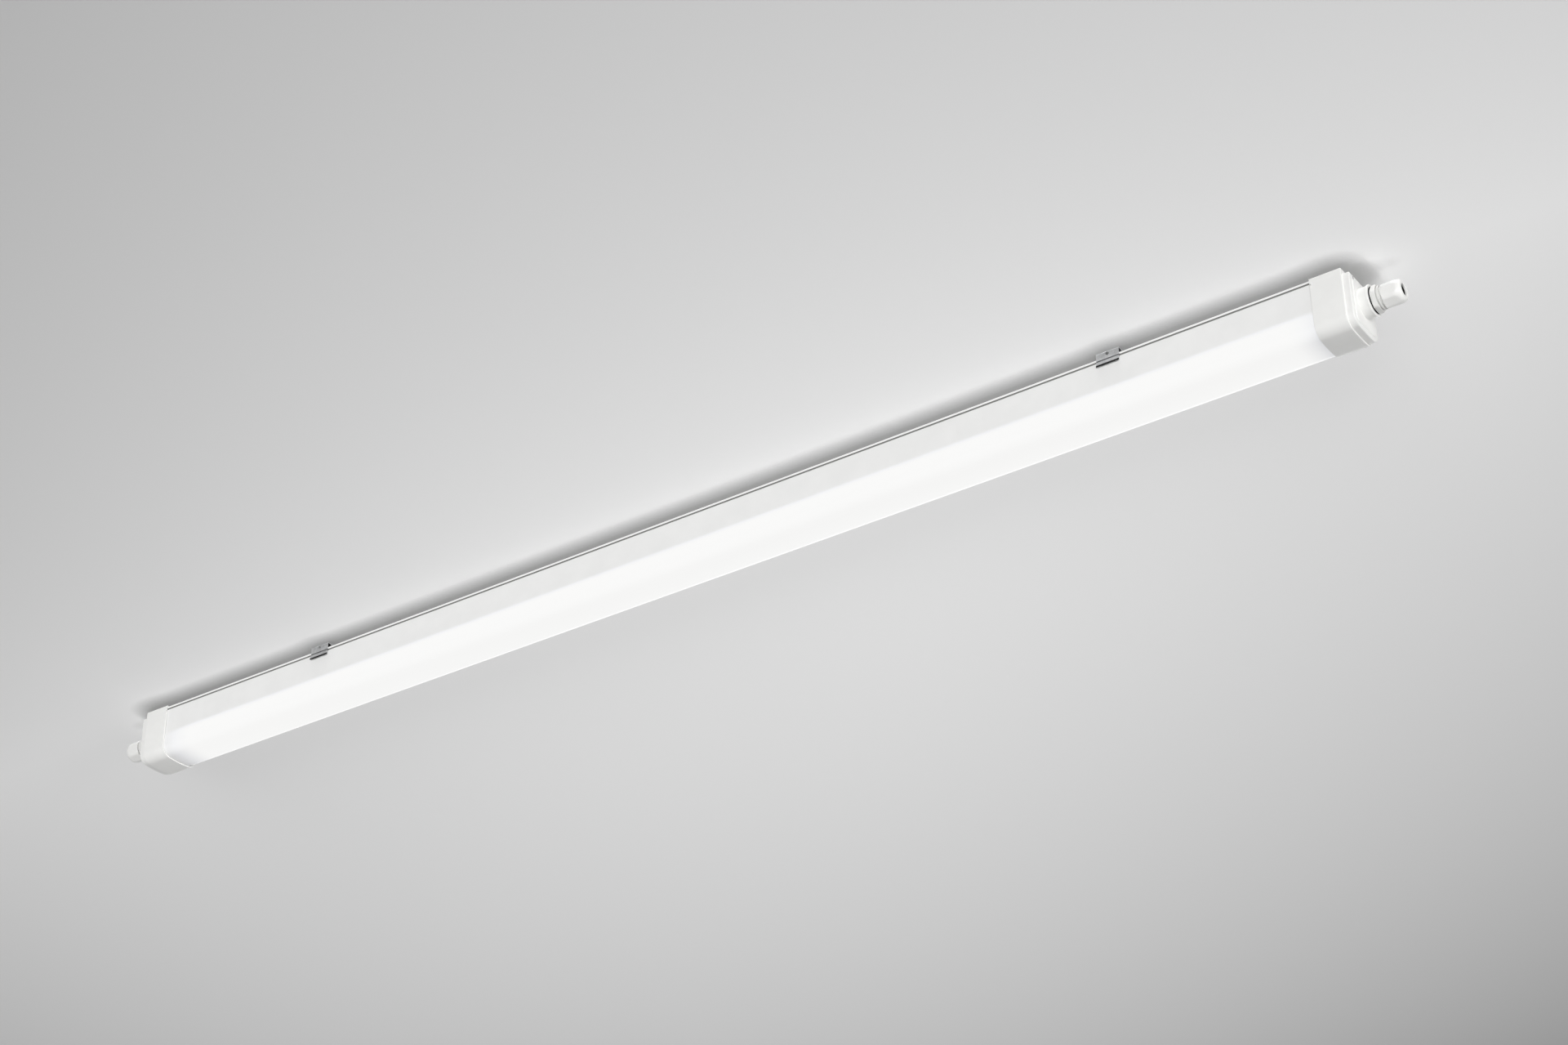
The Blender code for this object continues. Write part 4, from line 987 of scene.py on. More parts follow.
@dataclass
class CableGland:
    """Sealing washer, threaded body with its hexagon, rubber insert and dome nut."""

    end: End
    seal_body: str
    nut_body: str
    bore: float = 6.3 * MM
    thread: float = 9.7 * MM
    pitch: float = 1.5 * MM
    ridge: float = 0.5 * MM
    washer: float = 13.0 * MM
    washer_bore: float = 10.0 * MM
    washer_start: float = 48.55 * MM
    washer_end: float = 49.5 * MM
    body_start: float = 39.9 * MM
    flange_start: float = 49.55 * MM
    flange_end: float = 54.4 * MM
    flange_across: float = 24.0 * MM
    flange_corner: float = 13.5 * MM
    flange_blend: float = 0.5 * MM
    neck: float = 9.9 * MM
    ring: float = 11.6 * MM
    ring_start: float = 55.3 * MM
    ring_end: float = 57.0 * MM
    thread_start: float = 58.1 * MM
    nut_start: float = 58.7 * MM
    nut_end: float = 77.5 * MM
    nut_across: float = 22.4 * MM
    nut_blend: float = 0.12 * MM
    nut_corner: float = 12.1 * MM
    nut_chamfer: float = 0.8 * MM
    nut_turn: float = math.radians(22)
    nut_straight: float = 10.0 * MM
    nut_face: float = 8.2 * MM
    nut_hole: float = 5.8 * MM
    nut_bore: float = 10.0 * MM
    face_thickness: float = 2.0 * MM
    body_end: float = 68.0 * MM
    seal_bore: float = 5.3 * MM
    seal_outer: float = 8.7 * MM
    seal_start: float = 68.3 * MM
    seal_end: float = 75.2 * MM
    washer_edges: tuple[float, ...] = mm(0.2, 0.4, 0.4, 0.2)
    seal_edges: tuple[float, ...] = mm(0.6, 0.8, 1.2, 0.8)
    slack: float = 0.1 * MM
    steps: int = 96

    def build(self) -> None:
        """Makes the gland's four pieces."""
        rings = []
        for start, end, bore, outer, radii in (
            (self.washer_start, self.washer_end, self.washer_bore, self.washer, self.washer_edges),
            (self.seal_start, self.seal_end, self.seal_bore, self.seal_outer, self.seal_edges),
        ):
            wall = filleted([(start, bore), (start, outer), (end, outer), (end, bore)], radii, 4)
            rings.append(turned(wall, 0.0, self.steps))
        for name, body, stuff, node, grid in (
            ("sealing_washer", self.end.body, Stuff.RUBBER, "gland_washer", rings[0]),
            ("sealing_insert", self.seal_body, Stuff.RUBBER, "gland_seal", rings[1]),
            ("threaded_body", self.end.body, Stuff.NYLON, "gland_body", self.body_grid()),
            ("dome_nut", self.nut_body, Stuff.ABS, "gland_nut", self.nut_grid()),
        ):
            shell = Shell().ring(self.end.place(grid + (0.0, 0.0, GLAND_Z)))
            shell.mount(f"{name}_{self.end.side}", body, (stuff,), f"{node}_{self.end.side}")

    def body_grid(self) -> Array:
        """The body: a turned wall whose flange is the lesser of a disc and a hexagon."""
        neck, ring, corner = self.neck, self.ring, self.flange_corner
        root, first = self.thread - self.ridge, self.thread_start + self.ridge
        wall = [(self.body_start, self.bore), (self.body_start, self.thread)]
        wall += [(self.flange_start, self.thread), (self.flange_start, corner)]
        wall += [(self.flange_end, corner), (self.flange_end, neck), (self.ring_start, neck)]
        wall += [(self.ring_start, ring), (self.ring_end, ring), (self.ring_end, neck)]
        wall += [(self.thread_start, neck), (self.thread_start, root)]
        wall += [(x, self.thread) for x in np.arange(first, self.body_end, self.pitch / 6)]
        wall += [(self.body_end, root), (self.body_end, self.bore)]
        radii = np.zeros(len(wall))
        radii[:12] = mm(0.3, 0.4, 0, 1.0, 1.0, 0, 0, 0.35, 0.35, 0, 0.3, 0)

        def rule(x: Array, radius: Array, angle: Array) -> Array:
            """Gives the flange its hexagon and the threaded end its helix."""
            hexed = soft_least(radius, hexagonal(angle, self.flange_across), self.flange_blend)
            threaded = (x > first) & (radius > self.thread - self.ridge / 2)
            depth = np.where(threaded, self.ridge * thread(x, angle, self.pitch), 0.0)
            return np.where(radius > ring + self.slack, hexed, radius - depth)

        return lathed(filleted(wall, radii, 4), self.steps, rule)

    def nut_grid(self) -> Array:
        """The dome nut: outside, the lesser of a hexagon and a round dome; inside, its bore."""
        shoulder = self.nut_start + self.nut_straight
        t = np.linspace(0, math.pi / 2, 9)[1:-1]
        nose, spread = self.nut_end - shoulder, self.nut_corner - self.nut_face
        dome = zip(shoulder + nose * np.sin(t), self.nut_face + spread * np.cos(t))
        seat, edge = self.nut_end - self.face_thickness, self.nut_corner - self.nut_chamfer
        straight = np.linspace(self.nut_start + self.nut_chamfer, shoulder, 8)
        wall = [(self.nut_start, self.nut_bore), (self.nut_start, edge)]
        wall += [*((x, self.nut_corner) for x in straight), *dome]
        wall += [(self.nut_end, self.nut_face), (self.nut_end, self.nut_hole)]
        wall += [(seat, self.nut_hole), (seat, self.nut_bore)]
        radii = np.zeros(len(wall))
        radii[[0, 1, 2]] = 0.3 * MM
        radii[-4:] = mm(0.9, 0.5, 0.3, 0.0)

        def rule(_: Array, radius: Array, angle: Array) -> Array:
            """Gives the outside its hexagon, and leaves the bore round."""
            hexed = soft_least(radius, hexagonal(angle, self.nut_across), self.nut_blend)
            return np.where(radius > self.nut_bore + 5 * self.slack, hexed, radius)

        twist = self.nut_turn * self.end.way
        return lathed(filleted(wall, radii, 5), self.steps, rule, twist)


@dataclass
class EndGasket:
    """The silicone ring between the tube's end and the cap's shoulder."""

    section: Section
    end: End
    start: float = 22.3 * MM
    finish: float = 24.3 * MM
    outward: float = 0.1 * MM

    def build(self) -> None:
        """Makes the ring between an outer outline and the bore."""
        s, top, wide = self.section, self.section.lip_top + self.outward, self.section.half
        lip = wide - s.lip_width - self.outward
        upper = [(lip, s.web + self.outward), (lip, top), (wide + self.outward, top)]
        outer = s.rounded(upper, self.outward, 0.4 * MM)
        inner = s.rounded([(wide - s.wall, s.roof)], -s.wall, 1.0 * MM)
        shell = Shell().prism([outer, inner], [self.start, self.finish])
        shell.points[0] = self.end.place(shell.points[0])
        name, node = f"silicone_gasket_{self.end.side}", f"end_cap_gasket_{self.end.side}"
        shell.mount(name, self.end.body, (Stuff.SILICONE,), node)


@dataclass
class CeilingClip:
    """A pressed strap: flat on the ceiling, down both sides, hooked in the grooves, then flared."""

    section: Section
    name: str
    x: float
    width: float = 24.0 * MM
    steel: float = 0.8 * MM
    fit: float = 0.4 * MM
    gap: float = 0.3 * MM
    flare: float = 2.0 * MM
    tail: float = 5.4 * MM
    hem: float = 1.6 * MM
    flange: float = 4.2 * MM
    screw_hole: float = 2.75 * MM
    screw_y: float = 10.0 * MM
    leg_hole: float = 1.7 * MM
    bend: float = 0.7 * MM
    fold_share: float = 0.35

    def strap(self) -> Array:
        """The strap's closed section: its inner line, and that line moved out by the thickness."""
        s, z, inner = self.section, self.section.groove, self.section.half + self.fit
        reach = s.groove_height / 2
        right = [(inner, -self.steel), (inner, z + reach), (s.half - s.groove_depth + self.gap, z)]
        foot = np.array([s.half + self.flare, z - reach - self.tail])
        rise = np.array([inner, z - reach]) - foot
        right += [(inner, z - reach), tuple(foot + rise * self.hem / self.tail), tuple(foot)]
        line = np.array([*((-y, z) for y, z in right[::-1]), *right])
        run = np.diff(line, axis=0)
        normal = np.column_stack([-run[:, 1], run[:, 0]]) / np.linalg.norm(run, axis=1)[:, None]
        both = np.concatenate([2 * normal[:1], normal[:-1] + normal[1:], 2 * normal[-1:]])
        outer = line + 2 * both / (both**2).sum(1)[:, None] * self.steel
        radii = np.full(2 * len(line), self.bend)
        radii[[0, len(line) - 1, len(line), -1]] = self.steel / 4
        radii[len(line) : -1] += self.steel / 2
        return filleted(np.concatenate([line, outer[::-1]]), radii, 5)

    def build(self) -> None:
        """Makes the strap with its holes, and its stiffening flanges."""
        s, inner, half = self.section, self.section.half + self.fit, self.width / 2
        tools, flanges = Shell(), Shell()
        middle, deep = (s.lip_top - self.steel) / 2, 4 * self.steel
        for y in (-self.screw_y, self.screw_y):
            tools.rod((self.x, y, -deep), (self.x, y, deep), self.screw_hole, 32)
        for way in (-1, 1):
            ends = [(self.x, way * inner * share, middle) for share in (0.8, 1.2)]
            tools.rod(*ends, self.leg_hole, 28)
        shell = Shell().prism([self.strap()], [self.x - half, self.x + half])
        stuffs = (Stuff.STAINLESS, Stuff.PAINTED_SHADOW, Stuff.FOLD)
        made = shell.mount(
            self.name + "_pressing", "ceiling_clips", stuffs, self.name, tools=(tools,)
        )
        hem, fold = s.groove - s.groove_height / 2 - self.tail + self.hem, s.groove
        reach = self.fold_share * s.groove_height
        # Painted shadow: the tail below the hem's top is near black, for the shadow line under it;
        # painted shade: the band round the fold in the groove is darker.
        repaint(made, 1, lambda middles: middles[:, 2] < hem)
        repaint(made, 2, lambda middles: np.abs(middles[:, 2] - fold) < reach)
        for end in (-1, 1):
            for way in (-1, 1):
                x = sorted((self.x + end * half, self.x + end * (half - self.steel)))
                y = sorted((way * (inner + self.steel / 2), way * (inner - self.flange)))
                low, high = (x[0], y[0], s.lip_top + self.gap), (x[1], y[1], -self.steel / 2)
                flanges.block(low, high, self.steel / 4)
        # The end flanges are painted near black all over, as the shadow inside the clip under its
        # base.
        flanges.mount(self.name + "_flanges", "ceiling_clips", (Stuff.PAINTED_SHADOW,))


@dataclass
class GearTray:
    """The folded steel tray: flanges that rest on the tube's rails, walls, floor and end tab."""

    start: float = -734.0 * MM
    end: float = 710.0 * MM
    steel: float = 1.0 * MM
    half: float = 20.05 * MM
    flange: float = 22.25 * MM
    top: float = -9.9 * MM
    under: float = -39.4 * MM
    bend: float = 0.5 * MM
    tab_start: float = 708.5 * MM
    tab_top: float = -17.4 * MM
    tab_corner: float = 3.0 * MM
    window: Pair = mm(14.0, 12.0)
    window_sill: float = -37.4 * MM
    clearance: float = 1.8 * MM
    wire_hole: Triple = mm(212.0, 14.5, 3.3)

    def fold(self) -> Array:
        """The sheet's section, with an inner and an outer radius at each bend."""
        inner, floor = self.half - self.steel, self.under + self.steel
        side = [(inner, floor), (inner, self.top), (self.flange, self.top)]
        side += [(self.flange, self.top - self.steel), (self.half, self.top - self.steel)]
        side.append((self.half, self.under))
        outer, edge = self.bend + self.steel, 0.2 * self.steel
        radii = [self.bend, outer, edge, edge, self.bend, outer]
        both = np.concatenate([side, np.array(side)[::-1] * (-1, 1)])
        return filleted(both, radii + radii[::-1], 6)

    def build(self) -> None:
        """Makes the tray with its holes, and its tab."""
        low, high = self.under - self.steel, self.under + 2 * self.steel
        places = [(x, 0.0) for x in (*BOARD_PLACES, *DRIVER_SCREW_PLACES)] + [EARTH_PLACE]
        tools = Shell()
        for x, y, radius in [*((*place, self.clearance) for place in places), self.wire_hole]:
            tools.rod((x, y, low), (x, y, high), radius)
        shell = Shell().prism([self.fold()], [self.start, self.end])
        shell.mount("folded_tray", "gear_insert", (Stuff.POWDER,), "gear_tray", tools=(tools,))
        wide, pane = self.half - self.steel / 2, self.window[0] / 2
        floor, high = self.under + self.steel / 2, self.window_sill + self.window[1]
        outlines = [rounded_slab((-wide, floor), (wide, self.tab_top), self.tab_corner)]
        outlines.append(rounded_slab((-pane, self.window_sill), (pane, high), 2 * self.steel))
        outlines += [circle((y, POST_Z), self.clearance) for y in (-POST_Y, POST_Y)]
        shell = Shell().prism(outlines, [self.tab_start, self.tab_start + self.steel])
        shell.mount("tray_tab", "gear_insert", (Stuff.POWDER,))


@dataclass
class LedBoards:
    """Five boards under the tray, each with its row of lamps, and the links between them."""

    length: float = 276.0 * MM
    width: float = 20.0 * MM
    top: float = -39.7 * MM
    under: float = -41.3 * MM
    corner: float = 1.5 * MM
    hole: float = 1.8 * MM
    lamps: int = 18
    pitch: float = 14.842 * MM
    lamp: Triple = mm(3.5, 2.8, 0.66)
    window: Triple = mm(2.5, 2.0, 0.68)
    pad: Triple = mm(1.0, 2.2, 0.12)
    pad_place: float = 2.0 * MM
    land: Triple = mm(4.0, 3.0, 0.1)
    land_place: Pair = mm(134.0, 6.5)
    feed: Triple = mm(8.0, 3.7, 4.4)
    feed_place: Triple = mm(212.0, 7.85, -42.7)
    feed_entry: float = 1.0 * MM
    feed_entry_z: float = -43.1 * MM
    feed_spread: float = 1.7 * MM
    link: Triple = mm(8.7, 8.0, 2.6)
    key: Triple = mm(5.4, 4.0, 2.1)
    link_shift: float = 4.65 * MM
    link_gap: float = 0.3 * MM
    edge: float = 0.12 * MM

    def build(self) -> None:
        """Makes the boards, their links, and the connector that the driver's wires push into."""
        for number, middle in enumerate(BOARD_PLACES, 1):
            self.build_board(number, middle)
        for number, (a, b) in enumerate(zip(BOARD_PLACES, BOARD_PLACES[1:]), 1):
            self.build_link(number, (a + b) / 2)
        shell, tools = Shell().block(*box_of(self.feed_place, self.feed), 2 * self.edge), Shell()
        x, y, z = *self.feed_place[:2], self.feed_entry_z
        for way in (-1, 1):
            start = np.array([x + way * self.feed_spread, y, z])
            tools.rod(start, start + (0, self.feed[1], 0), self.feed_entry, 16)
        shell.mount("board_feed_connector", "gear_insert", (Stuff.PBT,), tools=(tools,))

    def build_board(self, number: int, middle: float) -> None:
        """Makes one board, its lamps with their phosphor windows, and their soldered pads."""
        half = self.length / 2, self.width / 2
        slab = rounded_slab((middle - half[0], -half[1]), (middle + half[0], half[1]), self.corner)
        outlines = [slab, circle((middle, 0.0), self.hole)]
        shell = Shell().prism(outlines, [self.under, self.top], True)
        parts = []
        for x in middle + (np.arange(self.lamps) - (self.lamps - 1) / 2) * self.pitch:
            parts += [(x, 0.0, self.lamp, 1), (x, 0.0, self.window, 2)]
            parts += [(x + shift, 0.0, self.pad, 3) for shift in (-self.pad_place, self.pad_place)]
        for x in (middle - self.land_place[0], middle + self.land_place[0]):
            parts += [(x, y, self.land, 3) for y in (-self.land_place[1], self.land_place[1])]
        for x, y, size, kind in parts:
            edge = self.edge / 3 if kind == 3 else self.edge
            shell.block(*box_of((x, y, self.under - size[2] / 2), size), edge, 1, kind)
        stuffs = (Stuff.MASK, Stuff.PBT, Stuff.PHOSPHOR, Stuff.ZINC)
        shell.mount(f"lamp_board_{number}", "gear_insert", stuffs, f"led_board_{number}")

    def build_link(self, number: int, middle: float) -> None:
        """Makes the two plugs of a link and the key that joins them."""
        z = self.under - self.link_gap - self.link[2] / 2
        shell = Shell()
        for x in (middle - self.link_shift, middle + self.link_shift):
            shell.block(*box_of((x, 0.0, z), self.link), 3 * self.edge)
        shell.block(*box_of((middle, 0.0, z + self.key[2] / 2), self.key), self.edge)
        shell.mount(f"bridge_plug_{number}", "gear_insert", (Stuff.PBT,), f"board_link_{number}")


@dataclass
class Screws:
    """Pan-head machine screws with slots and real threads.

    The board, driver, earth and tray screws have the place under their head along their axis, and
    their length.
    """

    shank: float = 1.5 * MM
    head: float = 2.8 * MM
    rise: float = 2.2 * MM
    crown_share: float = 0.45
    crown_core: float = 0.35
    tip: float = 0.9 * MM
    slot: float = 0.5 * MM
    slot_depth: float = 1.0 * MM
    pitch: float = 0.5 * MM
    ridge: float = 0.22 * MM
    steps: int = 24
    board: Pair = mm(-41.6, 3.2)
    driver: Pair = mm(-36.8, 2.6)
    earth: Pair = mm(-37.0, 2.4)
    tray: Pair = mm(708.2, 10.0)

    def grid(self, length: float) -> Array:
        """A screw along +X whose head sits behind zero: a dome, rise sin t over head cos t."""
        t = np.linspace(math.pi / 2, 0, 7)[1:-1]
        crown, core = self.rise * self.crown_share, self.crown_core
        wide = self.head * (core + (1 - core) * np.cos(t))
        dome = zip(crown - self.rise - crown * np.sin(t), wide)
        profile = [(-self.rise, 0.0), (-self.rise, core * self.head), *dome]
        profile += [(0.0, self.head), (0.0, self.shank)]
        run = np.arange(self.pitch / 2, length - self.pitch, self.pitch / 5)
        profile += [*((x, self.shank) for x in run), (length, self.tip), (length, 0.0)]

        def rule(x: Array, radius: Array, angle: Array) -> Array:
            """Takes the thread's helix out of the shank."""
            threaded = (x > self.pitch / 4) & (radius > self.shank - self.ridge)
            return radius - np.where(threaded, self.ridge * thread(x, angle, self.pitch), 0.0)

        return lathed(np.array(profile), self.steps, rule)

    def build(self) -> None:
        """Makes all ten: five in the boards, two in the driver, one for earth, two in the tab.

        Each row has the CAD node, the point under the head, the turn that lays it along its
        axis, which way it goes in, and its length.
        """
        up, rows = np.array([[0, 0, 1], [0, 1, 0], [-1, 0, 0]]), []
        for node, places, (z, length), way in (
            ("board_screw", BOARD_PLACES, self.board, 1),
            ("driver_screw", DRIVER_SCREW_PLACES, self.driver, -1),
        ):
            for number, x in enumerate(places, 1):
                rows.append((f"{node}_{number}", (x, 0.0, z), up, way, length))
        rows.append(("earth_screw", (*EARTH_PLACE, self.earth[0]), up, -1, self.earth[1]))
        for number, y in enumerate((-POST_Y, POST_Y), 1):
            under = (self.tray[0], y, POST_Z)
            rows.append((f"tray_screw_{number}", under, np.eye(3), 1, self.tray[1]))
        reach = 2 * self.head
        low = np.array([-2 * self.rise, -reach, -self.slot])
        high = np.array([self.slot_depth - self.rise, reach, self.slot])
        groove = brick(low, high, self.slot / 4, 3)
        for node, under, turn, way, length in rows:
            shell = Shell().ring(self.grid(length) @ turn * (way, 1, way) + under)
            tools = (Shell().capped(groove @ turn * (way, 1, way) + under),)
            shell.mount(node + "_steel", "gear_insert", (Stuff.ZINC,), node, tools=tools)


@dataclass
class DriverCase:
    """The driver's base plate with its ears, and its folded cover."""

    start: float = 250.0 * MM
    end: float = 530.0 * MM
    ear: float = 12.0 * MM
    half: float = 15.0 * MM
    sheet: float = 1.0 * MM
    base: float = -38.1 * MM
    cover_low: float = -36.8 * MM
    cover_top: float = -18.1 * MM
    window_half: float = 7.3 * MM
    window: Pair = mm(-32.0, -22.4)
    bend: float = 1.6 * MM
    hole: float = 1.8 * MM
    stud_places: Pair = mm(262.0, 518.0)
    stud_y: float = 10.0 * MM
    stud_top: float = -33.9 * MM

    def build(self) -> None:
        """Makes the base and the cover."""
        low, high = (self.start - self.ear, -self.half), (self.end + self.ear, self.half)
        outlines = [rounded_slab(low, high, 2 * self.sheet)]
        outlines += [circle((x, 0.0), self.hole) for x in DRIVER_SCREW_PLACES]
        shell = Shell().prism(outlines, [self.base, self.base + self.sheet], True)
        foot = self.base + self.sheet / 2
        for x in self.stud_places:
            for y in (-self.stud_y, self.stud_y):
                shell.rod((x, y, foot), (x, y, self.stud_top), 1.5 * self.sheet, 20)
        shell.mount("driver_base_plate", "gear_insert", (Stuff.ZINC,), "driver_base")

        low = np.array([self.start, -self.half, self.cover_low - 2 * self.bend])
        high = np.array([self.end, self.half, self.cover_top])
        inside = [low + (self.sheet, self.sheet, -self.bend), high - self.sheet]
        hollow = Shell().block(*inside, self.bend - self.sheet)
        below = [low - self.bend, (*(high[:2] + self.bend), self.cover_low)]
        openings = Shell().block(*below, self.sheet / 4, 1)
        for x in (self.start, self.end):
            near = (x - 2 * self.sheet, -self.window_half, self.window[0])
            far = (x + 2 * self.sheet, self.window_half, self.window[1])
            openings.block(near, far, self.sheet / 4, 2)
        shell, tools = Shell().block(low, high, self.bend, 4), (hollow, openings)
        shell.mount("driver_case", "gear_insert", (Stuff.ZINC,), "driver_cover", tools=tools)


@dataclass
class TerminalBlock:
    """A push-in block of three poles with a release button over each."""

    x: float = 650.0 * MM
    base: float = -38.1 * MM
    size: Triple = mm(26.0, 28.0, 14.0)
    pole_pitch: float = 8.0 * MM
    well: Pair = mm(5.2, 5.8)
    well_floor: float = -31.1 * MM
    entry_z: float = -33.4333 * MM
    entry: float = 1.8 * MM
    entry_depth: float = 7.0 * MM
    button: Triple = mm(4.4, 5.0, 7.0)
    button_low: float = -28.6 * MM
    slot: Triple = mm(2.8, 0.8, 1.2)
    edge: float = 0.8 * MM
    funnel: float = 0.5 * MM

    def build(self) -> None:
        """Makes the housing, with its wells and flared entries, and the buttons."""
        poles = [("neutral", -self.pole_pitch), ("live", 0.0), ("earth", self.pole_pitch)]
        half, top = self.well[0] / 2, self.base + self.size[2]
        tools = Shell()
        for _, y in poles:
            low = (self.x - half, y - self.well[1] / 2, self.well_floor)
            high = (self.x + half, y + self.well[1] / 2, top + self.edge)
            tools.block(low, high, self.edge / 2)
            for way in (-1, 1):
                face = self.x + way * self.size[0] / 2
                start, mouth, out = (
                    np.array([face + way * reach, y, self.entry_z])
                    for reach in (-self.entry_depth, -self.funnel, self.funnel)
                )
                narrow = rod_grid(start, mouth, self.entry, 24)
                wide = rod_grid(mouth, out, self.entry + 2 * self.funnel, 24)
                tools.capped(np.concatenate([narrow, wide[1:]]))
        middle = (self.x, 0.0, self.base + self.size[2] / 2)
        shell, tools = Shell().block(*box_of(middle, self.size), self.edge, 4), (tools,)
        shell.mount("terminal_housing", "gear_insert", (Stuff.PBT,), "terminal_block", tools=tools)
        for pole, y in poles:
            name, node = f"release_button_{pole}", f"terminal_button_{pole}"
            place = (self.x, y, self.button_low + self.button[2] / 2)
            shell = Shell().block(*box_of(place, self.button), self.edge / 2)
            slot = box_of((self.x, y, self.button_low + self.button[2]), self.slot)
            tools = (Shell().block(*slot, self.funnel / 4, 2),)
            shell.mount(name, f"{pole}_button", (Stuff.BUTTON,), node, tools=tools)


def smooth_route(held: Array, steps: int = 10) -> Array:
    """A curve through points: each span is a cubic whose end slopes weigh both neighbours.

    A middle point's slope is (before after_run + after before_run) / (before_run + after_run).
    """
    runs = np.linalg.norm(np.diff(held, axis=0), axis=1, keepdims=True)
    slopes = np.diff(held, axis=0) / runs
    inner = (slopes[:-1] * runs[1:] + slopes[1:] * runs[:-1]) / (runs[:-1] + runs[1:])
    ways = np.concatenate([slopes[:1], inner, slopes[-1:]])
    t = np.linspace(0, 1, steps, endpoint=False)[None, :, None]
    a, b, leave, arrive = (some[:, None] for some in (held[:-1], held[1:], ways[:-1], ways[1:]))
    curve = a * (2 * t**3 - 3 * t**2 + 1) + b * (3 * t**2 - 2 * t**3)
    curve = curve + (leave * (t**3 - 2 * t**2 + t) + arrive * (t**3 - t**2)) * runs[:, None]
    return np.concatenate([curve.reshape(-1, 3), held[-1:]])


@dataclass
class Wiring:
    """Three mains wires from the block, and two wires from the driver down to the boards.

    A sleeve is its path + radius (n cos t + b sin t), square to the path. Routes are those of the
    CAD model, in millimetres.
    """

    mains: float = 1.2 * MM
    fine: float = 0.8 * MM
    sides: int = 16
    entry_z: float = -33.4333
    driver_z: float = -27.2
    crimp: Pair = (9.75, -36.6)

    def routes(self) -> list[tuple[str, Stuff, list[Triple]]]:
        """Each wire's node, its finish and the points of its route."""
        entry, driver, rows = self.entry_z, self.driver_z, []
        for node, stuff, y, far, far_y in (
            ("neutral_wire", Stuff.BLUE, -8.0, (544.0, 537.0, 530.0, 524.3), -3.5),
            ("live_wire", Stuff.BROWN, 0.0, (544.0, 537.0, 530.0, 524.3), 3.5),
            ("earth_wire", Stuff.EARTH, 8.0, (), 0.0),
        ):
            route = [(x, y, entry) for x in (643.7, 637.0, 630.0)]
            rows.append((node, stuff, route + [(x, far_y, driver) for x in far]))
        rows[-1][2].extend((x, *self.crimp) for x in (620.3, 613.3))
        for node, stuff, y, x in (
            ("board_plus_wire", Stuff.RED, -3.5, 210.3),
            ("board_minus_wire", Stuff.BLACK, 3.5, 213.7),
        ):
            route = [(x, y, driver) for x in (255.7, 250.0, 244.0)]
            route += [(x + 6.0, (y + 14.5) / 2, driver), (x, 14.5, -32.8), (x, 14.5, -39.4)]
            rows.append((node, stuff, [*route, (x, 13.7, -42.05), (x, 10.8, -43.1)]))
        return rows

    def build(self) -> None:
        """Makes the five wires."""
        t = around(self.sides)
        for node, stuff, route in self.routes():
            fine = node.startswith("board")
            radius, side = (self.fine, (0, 1, 0)) if fine else (self.mains, (0, 0, 1))
            path = smooth_route(np.array(route) * MM)
            run = np.gradient(path, axis=0)
            run /= np.linalg.norm(run, axis=1, keepdims=True)
            n = np.cross(run, side)
            n /= np.linalg.norm(n, axis=1, keepdims=True)
            b = np.cross(run, n)
            grid = path[:, None] + radius * (n[:, None] * np.cos(t) + b[:, None] * np.sin(t))
            Shell().capped(grid).mount(node + "_sleeve", "gear_insert", (stuff,), node)


# Ceiling, light and camera


